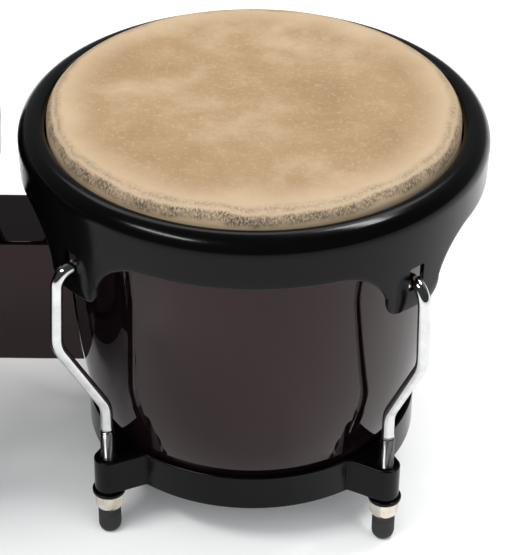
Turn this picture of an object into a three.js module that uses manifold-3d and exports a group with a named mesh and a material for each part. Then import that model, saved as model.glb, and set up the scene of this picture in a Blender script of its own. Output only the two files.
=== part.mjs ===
// Bongo drums: a small and a large wooden drum side by side, bolted to a block of wood between them.
// Each drum is a tapered shell with a skin head. A pressed rim pulls the head down over a hoop, four
// hooked rods pull the rim down, and nuts under the bottom hoop pull the rods. Millimetres, +Z up.
// The floor is z = 0, the drums stand along X, and the pair is centred on the origin.
import * as THREE from "three";
import { mergeVertices } from "three/addons/utils/BufferGeometryUtils.js";
import { ParametricGeometry } from "three/addons/geometries/ParametricGeometry.js";
import Module from "manifold-3d";

const wasm = await Module();
wasm.setup();

// ---- driving dimensions -------------------------------------------------------------------------

const HEIGHT = 183.1; // floor to the playing surface
const RIM_GAP = 7.4; // between the two rims, where they come closest
const CLEAR = 0.3; // between pieces that touch
const DRUMS = [
  { name: "macho", headRadius: 86.75, side: 1, hoopTurn: -1.5, rimTwist: -1.65 },
  { name: "hembra", headRadius: 102.5, side: -1, hoopTurn: 1.5, rimTwist: 1.65 },
];
const LUGS = 4; // tuning lugs on each drum
const FIRST_LUG = 45; // degrees from the line through the drums

const SKIN = 0.8; // thickness of the head
const SHOULDER = 5.9; // radius of the head's outer edge, over the shell's bearing edge
const SHELL_WALL = 8;
const SHELL_TAPER = 15.35; // how much smaller the shell's radius is at the bottom hoop
const SHELL_CONE = 11.6; // the part of it that comes as a straight cone
const SHELL_CURVE = 12; // power of the rest of it: the turn inwards just above the hoop

const FLESH_HOOP_DROP = 22.5; // playing surface to the middle of the flesh hoop
const FLESH_HOOP_BAR = 3.2; // radius of its bar

const RIM_SHEET = 2.2;
const ROLL_RADIUS = 8; // outside of the rolled top edge
const CURL_RADIUS = 3.4; // where the top edge turns down beside the head
const ROLL_DROP = 13.9; // playing surface to the middle of the roll
const RIM_HEAD_GAP = 1.05; // between the head's side and the rim's inner lip
const SKIRT_DROP = 28.5; // playing surface to the skirt's edge between lugs
const SKIRT_LEAN = 0.03; // how far the skirt leans in for each millimetre down
const EAR_DEPTH = 25; // how far an ear hangs below the skirt
const EAR_HALF_WIDTH = 14.4;
const EAR_CORNER = 7.2;
const EAR_STEP = 0.8; // the small notch beside the ear
const EAR_FLANK = 24; // radius of the concave curve from ear to skirt
const FLANK_SHARE = 0.8; // share of the ear's side that the curve takes up
const SLOT_WIDTH = 8; // opening that takes the rod's hook
const SLOT_HEIGHT = 11;

const ROD_RADIUS = 2.625;
const THREAD_RADIUS = 3.175;
const THREAD_ABOVE_HOOP = 16;
const ROD_END_DROP = 8.4; // rod's lower end below the nut's lower face
const ROD_OUT = 11.8; // rod axis outside the bottom hoop
const ROD_JOG = 20.6; // how far the upper rod stands outside the lower rod
const ROD_BOW = 1.2; // and how much further out its upper bend is
const JOG_LOW = 67; // height of the jog's lower and upper corners
const JOG_HIGH = 106;
const JOG_BEND = 15;
const HOOK_TOP_DROP = 40.6; // playing surface to the hook's centreline at its top
const HOOK_TIP = 5; // straight end of the hook, behind the ear

const HOOP_BOTTOM = 23.4;
const HOOP_HEIGHT = 16.6;
const HOOP_WALL = 2.2;
const HOOP_LEDGE = 8.5; // how far the ledge under the shell reaches in
const HOOP_LEDGE_THICK = 2.2;
const BOSS_RADIUS = 6.1;
const BOSS_PLATE_SPREAD = 10.5; // where a boss meets the band, beside the lug's middle
const ROD_HOLE = 3.6;

const WASHER_RADIUS = 7.2;
const WASHER_THICK = 1.8;
const NUT_ACROSS_FLATS = 11.4;
const NUT_HEIGHT = 7.6;
const FOOT_RADIUS = 4.95;
const FOOT_FLAT = 1.8; // radius of the flat that meets the floor
const FOOT_SOLE = 4.2; // rubber under the end of the rod

const BLOCK_THICK = 39.3;
const BLOCK_BOTTOM = 62.7;
const BLOCK_HEIGHT = 61.2;
const BLOCK_EDGE = 1.5;
const BLOCK_BOLT_RADIUS = 3.9;
const BLOCK_BOLT_HOLE = 4.2;
const BLOCK_BOLT_SPACING = 30;
const BOLT_HEAD_RADIUS = 7.5; // to the corners of the hexagon
const BOLT_HEAD_THICK = 5.3;
const BOLT_NUT_THICK = 6.5;
const BOLT_TAIL = 3; // thread that stands past the nut
const PLATE_THICK = 2.5;
const PLATE_WIDTH = 28;
const PLATE_HEIGHT = 52;

const AROUND = 32; // facets around a drum
const AROUND_SMALL = 10; // facets around a rod's hole, washer or foot
const PLAIN_COLUMNS = 5; // facet edges of the rim between one ear and the next

// ---- sizes that follow --------------------------------------------------------------------------

const v2 = (x, y) => new THREE.Vector2(x, y);
const radians = THREE.MathUtils.degToRad;

const shellTop = HEIGHT - SKIN - CLEAR;
const hoopTop = HOOP_BOTTOM + HOOP_HEIGHT;
const shellBottom = HOOP_BOTTOM + HOOP_LEDGE_THICK + CLEAR;
const washerBottom = HOOP_BOTTOM - CLEAR - WASHER_THICK;
const nutTop = washerBottom - CLEAR;
const nutBottom = nutTop - NUT_HEIGHT;
const footTop = nutBottom - CLEAR;
const rodBottom = nutBottom - ROD_END_DROP;
const hookTop = HEIGHT - HOOK_TOP_DROP;
const rollHeight = HEIGHT - ROLL_DROP;
const skirtBottom = HEIGHT - SKIRT_DROP;

const shellRadius = (drum) => drum.headRadius - SKIN - CLEAR;
const rollCentre = (drum) => drum.headRadius + RIM_HEAD_GAP + CURL_RADIUS;
const rimRadius = (drum) => rollCentre(drum) + ROLL_RADIUS;
const hoopInner = (drum) => shellRadius(drum) - SHELL_TAPER + CLEAR;
const hoopOuter = (drum) => hoopInner(drum) + HOOP_WALL;
const rodCircle = (drum) => hoopOuter(drum) + ROD_OUT;
const skirtRadius = (drum, z) => rimRadius(drum) - SKIRT_LEAN * Math.max(0, rollHeight - z);

// The hook's bend is centred over the strip of rim below the slot, and rests on that strip.
const hookCircle = (drum) => skirtRadius(drum, hookTop) - RIM_SHEET / 2;
// Seen from above, the way from a rod's lower axis to the top of its hook, with X pointing outward.
const hookWay = (drum) => {
  const twist = radians(drum.rimTwist);
  const top = v2(hookCircle(drum), 0).rotateAround(v2(0, 0), twist);
  return top.sub(v2(rodCircle(drum), 0));
};
const rodYaw = (drum) => Math.atan2(hookWay(drum).y, hookWay(drum).x);
const hookBend = (drum) => ROD_JOG - hookWay(drum).length();
const slotBottom = (drum) => {
  const underside = hookBend(drum) - ROD_RADIUS;
  const slant = Math.abs(rodYaw(drum) - radians(drum.rimTwist));
  const reach = (RIM_SHEET / 2 + CLEAR) / Math.cos(slant) + ROD_RADIUS * Math.tan(slant);
  return hookTop - hookBend(drum) + Math.sqrt(underside ** 2 - reach ** 2) - CLEAR;
};

const [macho, hembra] = DRUMS;
const centreDistance = rimRadius(macho) + RIM_GAP + rimRadius(hembra);
const sizeDifference = rimRadius(hembra) - rimRadius(macho);
for (const drum of DRUMS) drum.x = (drum.side * centreDistance + sizeDifference) / 2;

function shellOuterRadius(drum, z) {
  const share = Math.min(1, Math.max(0, (shellTop - z) / (shellTop - hoopTop)));
  const turnedIn = (SHELL_TAPER - SHELL_CONE) * share ** SHELL_CURVE;
  return shellRadius(drum) - SHELL_CONE * share - turnedIn;
}

// ---- finishes -----------------------------------------------------------------------------------

function finish(color, roughness, metalness) {
  return new THREE.MeshStandardMaterial({ color, roughness, metalness });
}

const LACQUERED_WOOD = finish(0x2e2424, 0.2, 0);
const RAWHIDE = finish(0xcab08e, 0.7, 0);
const BLACK_ENAMEL = finish(0x141616, 0.3, 0);
const BLACK_BLOCK = finish(0x242020, 0.35, 0);
const CHROME = finish(0xd8d8d8, 0.15, 1);
const NICKEL = finish(0xc8c0b6, 0.3, 1);
const BARE_STEEL = finish(0x8c8c88, 0.4, 1);
const BLACK_RUBBER = finish(0x262628, 0.8, 0);

// ---- solids -------------------------------------------------------------------------------------

function volume(positions, index) {
  const corner = [0, 1, 2].map(() => new THREE.Vector3());
  let sum = 0;
  for (let i = 0; i < index.length; i += 3) {
    corner.forEach((point, k) => point.fromBufferAttribute(positions, index[i + k]));
    sum += corner[0].dot(corner[1].clone().cross(corner[2])) / 6;
  }
  return sum;
}

// Joins shared corners, drops triangles that have no area and turns every face outward.
function weld(geometry) {
  for (const name of ["normal", "uv"]) if (geometry.hasAttribute(name)) geometry.deleteAttribute(name);
  const welded = mergeVertices(geometry, 1e-4);
  const kept = [];
  for (let i = 0; i < welded.index.count; i += 3) {
    const [a, b, c] = [0, 1, 2].map((k) => welded.index.getX(i + k));
    if (a !== b && b !== c && c !== a) kept.push(a, b, c);
  }
  if (volume(welded.attributes.position, kept) < 0) kept.reverse();
  welded.setIndex(kept);
  return welded;
}

function toSolid(geometry) {
  const welded = weld(geometry);
  const vertProperties = Float32Array.from(welded.attributes.position.array);
  const triVerts = Uint32Array.from(welded.index.array);
  return new wasm.Manifold(new wasm.Mesh({ numProp: 3, vertProperties, triVerts }));
}

function fromSolid(solid) {
  const mesh = solid.getMesh();
  const geometry = new THREE.BufferGeometry();
  geometry.setAttribute("position", new THREE.BufferAttribute(mesh.vertProperties, 3));
  geometry.setIndex(new THREE.BufferAttribute(mesh.triVerts, 1));
  return geometry;
}

function cut(body, tools) {
  const rest = tools.reduce((solid, tool) => solid.subtract(toSolid(tool)), toSolid(body));
  return fromSolid(rest);
}

const join = (a, b) => fromSolid(toSolid(a).add(toSolid(b)));
const common = (a, b) => fromSolid(toSolid(a).intersect(toSolid(b)));

// Turns a closed outline of (radius, height) points about Z.
function turned(outline, around = AROUND) {
  const closed = outline[0].x === 0 ? outline : [...outline, outline[0]];
  return weld(new THREE.LatheGeometry(closed, around).rotateX(Math.PI / 2));
}

function arc(x, y, radius, from, to, steps) {
  const angles = Array.from({ length: steps + 1 }, (_, i) => radians(from + ((to - from) * i) / steps));
  return angles.map((angle) => v2(x + radius * Math.cos(angle), y + radius * Math.sin(angle)));
}

function upright(shape, bottom, height, curveSegments = 1) {
  const options = { depth: height, bevelEnabled: false, curveSegments };
  return weld(new THREE.ExtrudeGeometry(shape, options).translate(0, 0, bottom));
}

function boxBetween(low, high) {
  const size = high.map((value, i) => value - low[i]);
  const middle = high.map((value, i) => (value + low[i]) / 2);
  return new THREE.BoxGeometry(...size).translate(...middle);
}

function rodAlongX(radius, from, to, y, z, around = AROUND_SMALL) {
  const rod = new THREE.CylinderGeometry(radius, radius, to - from, around).rotateZ(Math.PI / 2);
  return rod.translate((from + to) / 2, y, z);
}

const circlePoints = (radius, around, x = 0) => arc(x, 0, radius, 0, 360, around).slice(0, -1);
const lugAngle = (drum, lug) => radians(FIRST_LUG + drum.hoopTurn + (360 / LUGS) * lug);
const earAngle = (drum, lug) => lugAngle(drum, lug) + radians(drum.rimTwist);

function atLug(drum, lug, points) {
  return points.map((point) => point.clone().rotateAround(v2(0, 0), lugAngle(drum, lug)));
}

// ---- shell, head and flesh hoop -----------------------------------------------------------------

const SHELL_LEVELS = [0.4, 0.75, 0.85, 0.93, 1]; // shares of the way down to the bottom hoop
const BEARING_DEPTH = 2; // how far the shell's inner top corner is cut down

function shellWall(drum, inset) {
  const depth = shellTop - hoopTop;
  const levels = SHELL_LEVELS.map((share) => shellTop - share * depth);
  return [...levels, shellBottom].map((z) => v2(shellOuterRadius(drum, z) - inset, z));
}

function shell(drum) {
  const radius = shellRadius(drum);
  const bend = SHOULDER - SKIN - CLEAR;
  const bearingEdge = arc(radius - bend, shellTop - bend, bend, 90, 0, 3);
  const innerCorner = v2(radius - SHELL_WALL, shellTop - BEARING_DEPTH);
  const inside = [...shellWall(drum, SHELL_WALL).reverse(), innerCorner];
  const body = turned([...bearingEdge, ...shellWall(drum, 0), ...inside]);
  const wallToBlock = boltHeights().map((z) => {
    const reach = [-drum.side * (radius - 2 * SHELL_WALL - SHELL_TAPER), -drum.side * (radius + 1)];
    return rodAlongX(BLOCK_BOLT_HOLE, Math.min(...reach), Math.max(...reach), 0, z);
  });
  return cut(body, wallToBlock);
}

function head(drum) {
  const radius = drum.headRadius;
  const bottom = HEIGHT - FLESH_HOOP_DROP - FLESH_HOOP_BAR;
  const top = HEIGHT - SHOULDER;
  return turned([
    v2(0, HEIGHT),
    ...arc(radius - SHOULDER, top, SHOULDER, 90, 0, 3),
    v2(radius, bottom),
    v2(radius - SKIN, bottom),
    ...arc(radius - SHOULDER, top, SHOULDER - SKIN, 0, 90, 3),
    v2(0, HEIGHT - SKIN),
  ]);
}

function fleshHoop(drum) {
  const centre = drum.headRadius + CLEAR + FLESH_HOOP_BAR;
  return turned(arc(centre, HEIGHT - FLESH_HOOP_DROP, FLESH_HOOP_BAR, 0, 360, 6).slice(0, -1));
}

// ---- rim ----------------------------------------------------------------------------------------

// How far the skirt hangs below its usual edge, at a distance along the edge from the ear's middle.
function earHang(distance) {
  const cornerStart = EAR_HALF_WIDTH - EAR_CORNER;
  if (distance <= cornerStart) return EAR_DEPTH;
  if (distance <= EAR_HALF_WIDTH) {
    return EAR_DEPTH - EAR_CORNER + Math.sqrt(EAR_CORNER ** 2 - (distance - cornerStart) ** 2);
  }
  const flank = Math.max(0, EAR_HALF_WIDTH + EAR_STEP + flankReach() - distance);
  return Math.min(EAR_DEPTH - EAR_CORNER, EAR_FLANK - Math.sqrt(EAR_FLANK ** 2 - flank ** 2));
}

// The flank's arc meets the skirt's edge at a tangent, this far outside the notch.
function flankReach() {
  const rise = Math.min(EAR_FLANK, (EAR_DEPTH - EAR_CORNER) * FLANK_SHARE);
  return Math.sqrt(EAR_FLANK ** 2 - (EAR_FLANK - rise) ** 2);
}

const CORNER_SHARES = [0, 0.72, 1]; // columns across an ear's rounded corner
const FLANK_SHARES = [0, 0.14, 0.36, 0.66, 1]; // and across its flank

function rimColumns(drum) {
  const reach = flankReach();
  const cornerStart = EAR_HALF_WIDTH - EAR_CORNER;
  const flankStart = EAR_HALF_WIDTH + EAR_STEP;
  const half = [
    ...CORNER_SHARES.map((share) => cornerStart + share * EAR_CORNER),
    ...FLANK_SHARES.map((share) => flankStart + share * reach),
  ];
  const sides = [...half.map((s) => -s).reverse(), ...half];
  const offsets = sides.map((s) => ({ s, hang: earHang(Math.abs(s)) }));
  const columns = [];
  const around = skirtRadius(drum, skirtBottom);
  const earEnd = half.at(-1) / around;
  const plainStep = ((2 * Math.PI) / LUGS - 2 * earEnd) / (PLAIN_COLUMNS + 1);
  for (let lug = 0; lug < LUGS; lug++) {
    const middle = earAngle(drum, lug);
    for (const { s, hang } of offsets) columns.push({ angle: middle + s / around, hang });
    for (let i = 1; i <= PLAIN_COLUMNS; i++) {
      columns.push({ angle: middle + earEnd + i * plainStep, hang: 0 });
    }
  }
  columns.push({ ...columns[0], angle: columns[0].angle + 2 * Math.PI });
  return columns;
}

function rimSection(drum, hang) {
  const centre = rollCentre(drum);
  const curlHeight = rollHeight + ROLL_RADIUS - CURL_RADIUS;
  const lipBottom = HEIGHT - FLESH_HOOP_DROP + FLESH_HOOP_BAR + CLEAR;
  const edge = skirtBottom - hang;
  const section = [
    v2(centre - CURL_RADIUS, lipBottom),
    ...arc(centre, curlHeight, CURL_RADIUS, 180, 90, 2),
    ...arc(centre, rollHeight, ROLL_RADIUS, 90, 0, 3).slice(1),
    v2(skirtRadius(drum, edge), edge),
    v2(skirtRadius(drum, edge) - RIM_SHEET, edge),
    ...arc(centre, rollHeight, ROLL_RADIUS - RIM_SHEET, 0, 90, 2),
    v2(centre - CURL_RADIUS + RIM_SHEET, curlHeight),
    v2(centre - CURL_RADIUS + RIM_SHEET, lipBottom),
  ];
  return [...section, section[0]];
}

function rim(drum) {
  const columns = rimColumns(drum);
  const sections = columns.map(({ hang }) => rimSection(drum, hang));
  const place = (u, v, target) => {
    const column = Math.round(u * (columns.length - 1));
    const point = sections[column][Math.round(v * (sections[0].length - 1))];
    const { angle } = columns[column];
    target.set(point.x * Math.cos(angle), point.x * Math.sin(angle), point.y);
  };
  const sheet = new ParametricGeometry(place, columns.length - 1, sections[0].length - 1);
  const slots = Array.from({ length: LUGS }, (_, lug) => {
    const low = [hookCircle(drum) - 3 * RIM_SHEET, -SLOT_WIDTH / 2, slotBottom(drum)];
    const high = [hookCircle(drum) + 3 * RIM_SHEET, SLOT_WIDTH / 2, slotBottom(drum) + SLOT_HEIGHT];
    const slot = boxBetween(low, high);
    return slot.rotateZ(earAngle(drum, lug));
  });
  return cut(sheet, slots);
}

// ---- bottom hoop --------------------------------------------------------------------------------

// Outline of the band with a boss at each lug, on plates that touch the boss and end on the band.
function hoopOutline(drum) {
  const ring = hoopOuter(drum);
  const circle = rodCircle(drum);
  const seam = Math.asin(BOSS_PLATE_SPREAD / ring);
  const fromBoss = v2(ring * Math.cos(seam) - circle, BOSS_PLATE_SPREAD);
  const touch = Math.atan2(fromBoss.y, fromBoss.x) - Math.acos(BOSS_RADIUS / fromBoss.length());
  const onBoss = THREE.MathUtils.radToDeg(touch);
  const onRing = THREE.MathUtils.radToDeg(seam);
  const lobe = [
    ...arc(circle, 0, BOSS_RADIUS, -onBoss, onBoss, 8),
    ...arc(0, 0, ring, onRing, 360 / LUGS - onRing, 6),
  ];
  return Array.from({ length: LUGS }, (_, lug) => atLug(drum, lug, lobe)).flat();
}

function bottomHoop(drum) {
  const band = new THREE.Shape(hoopOutline(drum));
  band.holes.push(new THREE.Path(circlePoints(hoopInner(drum), AROUND).reverse()));
  for (let lug = 0; lug < LUGS; lug++) {
    const hole = atLug(drum, lug, circlePoints(ROD_HOLE, AROUND_SMALL, rodCircle(drum)));
    band.holes.push(new THREE.Path(hole.reverse()));
  }
  const ledgeOuter = hoopInner(drum) + HOOP_WALL / 2;
  const ledge = new THREE.Shape(circlePoints(ledgeOuter, AROUND));
  ledge.holes.push(new THREE.Path(circlePoints(hoopInner(drum) - HOOP_LEDGE, AROUND).reverse()));
  return join(upright(band, HOOP_BOTTOM, HOOP_HEIGHT), upright(ledge, HOOP_BOTTOM, HOOP_LEDGE_THICK));
}

// ---- tuning lugs --------------------------------------------------------------------------------

// A path through chosen points, with a step of its own from each point to the next.
class PointPath extends THREE.Curve {
  constructor(points) {
    super();
    this.points = points;
  }

  getPoint(t, target = new THREE.Vector3()) {
    const last = this.points.length - 1;
    const step = Math.min(Math.floor(t * last), last - 1);
    return target.lerpVectors(this.points[step], this.points[step + 1], t * last - step);
  }

  getTangent(t, target = new THREE.Vector3()) {
    const last = this.points.length - 1;
    const nearest = Math.round(t * last);
    const before = this.points[Math.max(0, nearest - 1)];
    const here = this.points[nearest];
    const after = this.points[Math.min(last, nearest + 1)];
    const arriving = here.clone().sub(before).normalize();
    return target.copy(after).sub(here).normalize().add(arriving).normalize();
  }

  getUtoTmapping(u) {
    return u;
  }
}

// The arc that rounds a corner between two straight runs.
function bendAt(before, corner, after, radius, steps) {
  const back = before.clone().sub(corner).normalize();
  const ahead = after.clone().sub(corner).normalize();
  const half = Math.acos(back.dot(ahead)) / 2;
  const inward = back.clone().add(ahead).normalize();
  const centre = corner.clone().addScaledVector(inward, radius / Math.sin(half));
  const start = corner.clone().addScaledVector(back, radius / Math.tan(half)).sub(centre);
  const turn = (Math.PI - 2 * half) * Math.sign(ahead.cross(back));
  const shares = Array.from({ length: steps + 1 }, (_, i) => i / steps);
  return shares.map((share) => start.clone().rotateAround(v2(0, 0), share * turn).add(centre));
}

// Centreline of a rod in the plane of its bends, from its threaded end up to its hook.
function rodPath(drum) {
  const bend = hookBend(drum);
  const hookCentre = hookTop - bend;
  const bottom = v2(0, rodBottom);
  const lower = v2(0, JOG_LOW);
  const upper = v2(ROD_JOG + ROD_BOW, JOG_HIGH);
  const hookStart = v2(ROD_JOG, hookCentre);
  const flat = [
    bottom,
    ...bendAt(bottom, lower, upper, JOG_BEND, 2),
    ...bendAt(lower, upper, hookStart, JOG_BEND, 2),
    ...arc(ROD_JOG - bend, hookCentre, bend, 0, 180, 6),
    v2(ROD_JOG - 2 * bend, hookCentre - HOOK_TIP),
  ];
  return new PointPath(flat.map((point) => new THREE.Vector3(point.x, 0, point.y)));
}

function tuningRod(drum) {
  const extrudePath = rodPath(drum);
  const section = new THREE.Shape(circlePoints(ROD_RADIUS, 8));
  const bar = new THREE.ExtrudeGeometry(section, { steps: extrudePath.points.length - 1, extrudePath });
  const length = hoopTop + THREAD_ABOVE_HOOP - rodBottom;
  const thread = new THREE.CylinderGeometry(THREAD_RADIUS, THREAD_RADIUS, length, 8).rotateX(Math.PI / 2);
  return join(bar, thread.translate(0, 0, rodBottom + length / 2));
}

function washer() {
  const lower = [v2(ROD_HOLE, 0), v2(WASHER_RADIUS, 0)];
  const upper = [v2(WASHER_RADIUS, WASHER_THICK), v2(ROD_HOLE, WASHER_THICK)];
  return turned([...lower, ...upper], AROUND_SMALL);
}

function hexNut(acrossFlats, height, holeRadius) {
  const hexagon = new THREE.Shape(circlePoints(acrossFlats / Math.sqrt(3), 6));
  hexagon.holes.push(new THREE.Path(circlePoints(holeRadius, AROUND_SMALL).reverse()));
  return upright(hexagon, 0, height);
}

// A cap whose sole is domed: its side turns in to a small flat face on the floor.
function foot() {
  const dome = [0, 30, 60].map((angle) => {
    const inward = (FOOT_RADIUS - FOOT_FLAT) * (1 - Math.cos(radians(angle)));
    return v2(FOOT_RADIUS - inward, FOOT_SOLE * (1 - Math.sin(radians(angle))));
  });
  const outside = [v2(0, 0), v2(FOOT_FLAT, 0), ...dome.reverse(), v2(FOOT_RADIUS, footTop)];
  const inside = [v2(ROD_HOLE, footTop), v2(ROD_HOLE, FOOT_SOLE), v2(0, FOOT_SOLE)];
  return turned([...outside, ...inside], AROUND_SMALL);
}

// ---- centre block and its bolts -----------------------------------------------------------------

function boltHeights() {
  const middle = BLOCK_BOTTOM + BLOCK_HEIGHT / 2;
  return [middle - BLOCK_BOLT_SPACING / 2, middle + BLOCK_BOLT_SPACING / 2];
}

function centreBlock() {
  const halfThick = BLOCK_THICK / 2 - BLOCK_EDGE;
  const section = new THREE.Shape([
    ...arc(halfThick, BLOCK_BOTTOM + BLOCK_EDGE, BLOCK_EDGE, -90, 0, 2),
    ...arc(halfThick, BLOCK_BOTTOM + BLOCK_HEIGHT - BLOCK_EDGE, BLOCK_EDGE, 0, 90, 2),
    ...arc(-halfThick, BLOCK_BOTTOM + BLOCK_HEIGHT - BLOCK_EDGE, BLOCK_EDGE, 90, 180, 2),
    ...arc(-halfThick, BLOCK_BOTTOM + BLOCK_EDGE, BLOCK_EDGE, 180, 270, 2),
  ]);
  const bar = new THREE.ExtrudeGeometry(section, { depth: macho.x - hembra.x, bevelEnabled: false });
  const cross = new THREE.Matrix4().makeBasis(
    new THREE.Vector3(0, 1, 0),
    new THREE.Vector3(0, 0, 1),
    new THREE.Vector3(1, 0, 0),
  );
  bar.applyMatrix4(cross).translate(hembra.x, 0, 0);
  const seats = DRUMS.map((drum) => {
    const wall = shellWall(drum, -CLEAR);
    const upper = v2(shellRadius(drum) + CLEAR, shellTop);
    return turned([v2(0, shellTop), upper, ...wall, v2(0, shellBottom)]).translate(drum.x, 0, 0);
  });
  const holes = boltHeights().map((z) => rodAlongX(BLOCK_BOLT_HOLE, hembra.x, macho.x, 0, z));
  return cut(bar, [...seats, ...holes]);
}

// Inner face of a backing plate beside a bolt, measured from the drum's axis.
function plateFace(drum, z) {
  const levels = [z - BOLT_HEAD_RADIUS, z + BOLT_HEAD_RADIUS];
  const radius = Math.min(...levels.map((level) => shellOuterRadius(drum, level)));
  const face = (radius - SHELL_WALL - CLEAR - PLATE_THICK) * Math.cos(Math.PI / AROUND);
  return Math.sqrt(face ** 2 - BOLT_HEAD_RADIUS ** 2);
}

function backingPlate(drum) {
  const outer = shellWall(drum, SHELL_WALL + CLEAR);
  const inner = shellWall(drum, SHELL_WALL + CLEAR + PLATE_THICK).reverse();
  const middle = BLOCK_BOTTOM + BLOCK_HEIGHT / 2;
  const ends = [0, -drum.side * shellRadius(drum)];
  const window = boxBetween(
    [Math.min(...ends), -PLATE_WIDTH / 2, middle - PLATE_HEIGHT / 2],
    [Math.max(...ends), PLATE_WIDTH / 2, middle + PLATE_HEIGHT / 2],
  );
  const reach = -drum.side * shellRadius(drum);
  const holes = boltHeights().map((z) => {
    return rodAlongX(BLOCK_BOLT_HOLE, Math.min(0, reach), Math.max(0, reach), 0, z);
  });
  return cut(common(turned([...outer, ...inner]), window), holes);
}

function blockBolt(z) {
  const headFace = hembra.x + plateFace(hembra, z) - CLEAR;
  const nutEnd = macho.x - plateFace(macho, z) + CLEAR + BOLT_NUT_THICK;
  const shank = rodAlongX(BLOCK_BOLT_RADIUS, headFace - 1, nutEnd + BOLT_TAIL, 0, z);
  return join(shank, rodAlongX(BOLT_HEAD_RADIUS, headFace - BOLT_HEAD_THICK, headFace, 0, z, 6));
}

function blockBoltNut() {
  const acrossFlats = BOLT_HEAD_RADIUS * Math.sqrt(3);
  return hexNut(acrossFlats, BOLT_NUT_THICK, BLOCK_BOLT_HOLE).rotateY(Math.PI / 2);
}

// ---- assembly -----------------------------------------------------------------------------------

function piece(group, name, geometry, material) {
  const mesh = new THREE.Mesh(geometry, material);
  mesh.name = name;
  group.add(mesh);
  return mesh;
}

function lugStation(drum, number) {
  const station = new THREE.Group();
  station.rotation.z = lugAngle(drum, number - 1);
  const onRod = new THREE.Group();
  onRod.position.x = rodCircle(drum);
  station.add(onRod);
  piece(onRod, `${drum.name}_tuning_rod_${number}`, tuningRod(drum).rotateZ(rodYaw(drum)), CHROME);
  piece(onRod, `${drum.name}_washer_${number}`, washer(), BLACK_ENAMEL).position.z = washerBottom;
  const nut = hexNut(NUT_ACROSS_FLATS, NUT_HEIGHT, ROD_HOLE);
  piece(onRod, `${drum.name}_tuning_nut_${number}`, nut, NICKEL).position.z = nutBottom;
  piece(onRod, `${drum.name}_foot_${number}`, foot(), BLACK_RUBBER);
  return station;
}

function drumGroup(drum) {
  const group = new THREE.Group();
  group.position.x = drum.x;
  piece(group, `${drum.name}_shell`, shell(drum), LACQUERED_WOOD);
  piece(group, `${drum.name}_head`, head(drum), RAWHIDE);
  piece(group, `${drum.name}_flesh_hoop`, fleshHoop(drum), BARE_STEEL);
  piece(group, `${drum.name}_rim`, rim(drum), BLACK_ENAMEL);
  piece(group, `${drum.name}_bottom_hoop`, bottomHoop(drum), BLACK_ENAMEL);
  piece(group, `${drum.name}_backing_plate`, backingPlate(drum), BARE_STEEL);
  for (let number = 1; number <= LUGS; number++) group.add(lugStation(drum, number));
  return group;
}

const bongos = new THREE.Group();
DRUMS.forEach((drum) => bongos.add(drumGroup(drum)));
piece(bongos, "center_block", centreBlock(), BLACK_BLOCK);
["lower", "upper"].forEach((level, i) => {
  const z = boltHeights()[i];
  piece(bongos, `block_bolt_${level}`, blockBolt(z), BARE_STEEL);
  const nut = piece(bongos, `block_bolt_nut_${level}`, blockBoltNut(), BARE_STEEL);
  nut.position.set(macho.x - plateFace(macho, z) + CLEAR, 0, z);
});

export default bongos;
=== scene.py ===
"""Looks for a pair of bongo drums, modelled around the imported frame.

The frame gives every place and overall size. The classes below hold the finer sizes, in
millimetres, and build each piece as a mesh of its own.
"""

import logging
import math
from dataclasses import dataclass
from enum import Enum
from typing import Mapping, Sequence

import bmesh
import bpy
import numpy as np
from mathutils import Matrix, Vector, geometry, noise


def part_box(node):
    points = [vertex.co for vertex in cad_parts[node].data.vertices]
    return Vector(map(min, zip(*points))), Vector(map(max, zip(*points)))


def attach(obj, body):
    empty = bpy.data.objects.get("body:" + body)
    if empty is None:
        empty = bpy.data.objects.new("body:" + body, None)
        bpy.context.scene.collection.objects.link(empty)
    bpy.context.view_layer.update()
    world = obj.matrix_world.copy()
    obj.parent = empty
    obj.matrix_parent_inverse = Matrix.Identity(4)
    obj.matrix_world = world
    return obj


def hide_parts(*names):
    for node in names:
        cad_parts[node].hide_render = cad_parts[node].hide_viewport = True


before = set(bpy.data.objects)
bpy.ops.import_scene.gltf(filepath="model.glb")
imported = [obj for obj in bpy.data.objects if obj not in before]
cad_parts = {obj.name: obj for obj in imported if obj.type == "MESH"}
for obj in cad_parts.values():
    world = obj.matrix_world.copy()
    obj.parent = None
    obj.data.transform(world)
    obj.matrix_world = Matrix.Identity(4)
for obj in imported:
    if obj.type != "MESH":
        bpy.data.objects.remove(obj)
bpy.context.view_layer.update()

LOG = logging.getLogger("bongos")
MM = 0.001
ROOT = "drums_and_block"
LUGS = 4
THREAD_ABOVE = 16.0  # how far each rod's thread runs above the bottom hoop, in millimetres

Point = tuple[float, float]


class Finish(Enum):
    """Finishes that the pieces can have."""

    RAWHIDE = "rawhide"
    LACQUERED_WOOD = "lacquered wood"
    SEALED_WOOD = "sealed wood"
    POWDER_COAT = "powder coat"
    BLOCK_LACQUER = "block lacquer"
    CHROME = "chrome plate"
    NICKEL = "nickel plate"
    RUBBER = "moulded rubber"
    ZINC = "zinc plate"


# ---- shading helpers ----------------------------------------------------------------------------


def linear(hex_colour: str) -> tuple[float, float, float, float]:
    """Turns an sRGB hex colour into linear RGBA.

    Args:
        hex_colour: Six hex digits, with or without a leading "#".

    Returns:
        The linear red, green, blue and an alpha of 1.
    """
    digits = hex_colour.lstrip("#")
    channels = [int(digits[i : i + 2], 16) / 255 for i in (0, 2, 4)]
    red, green, blue = (c / 12.92 if c <= 0.04045 else ((c + 0.055) / 1.055) ** 2.4 for c in channels)
    return red, green, blue, 1.0


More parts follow.
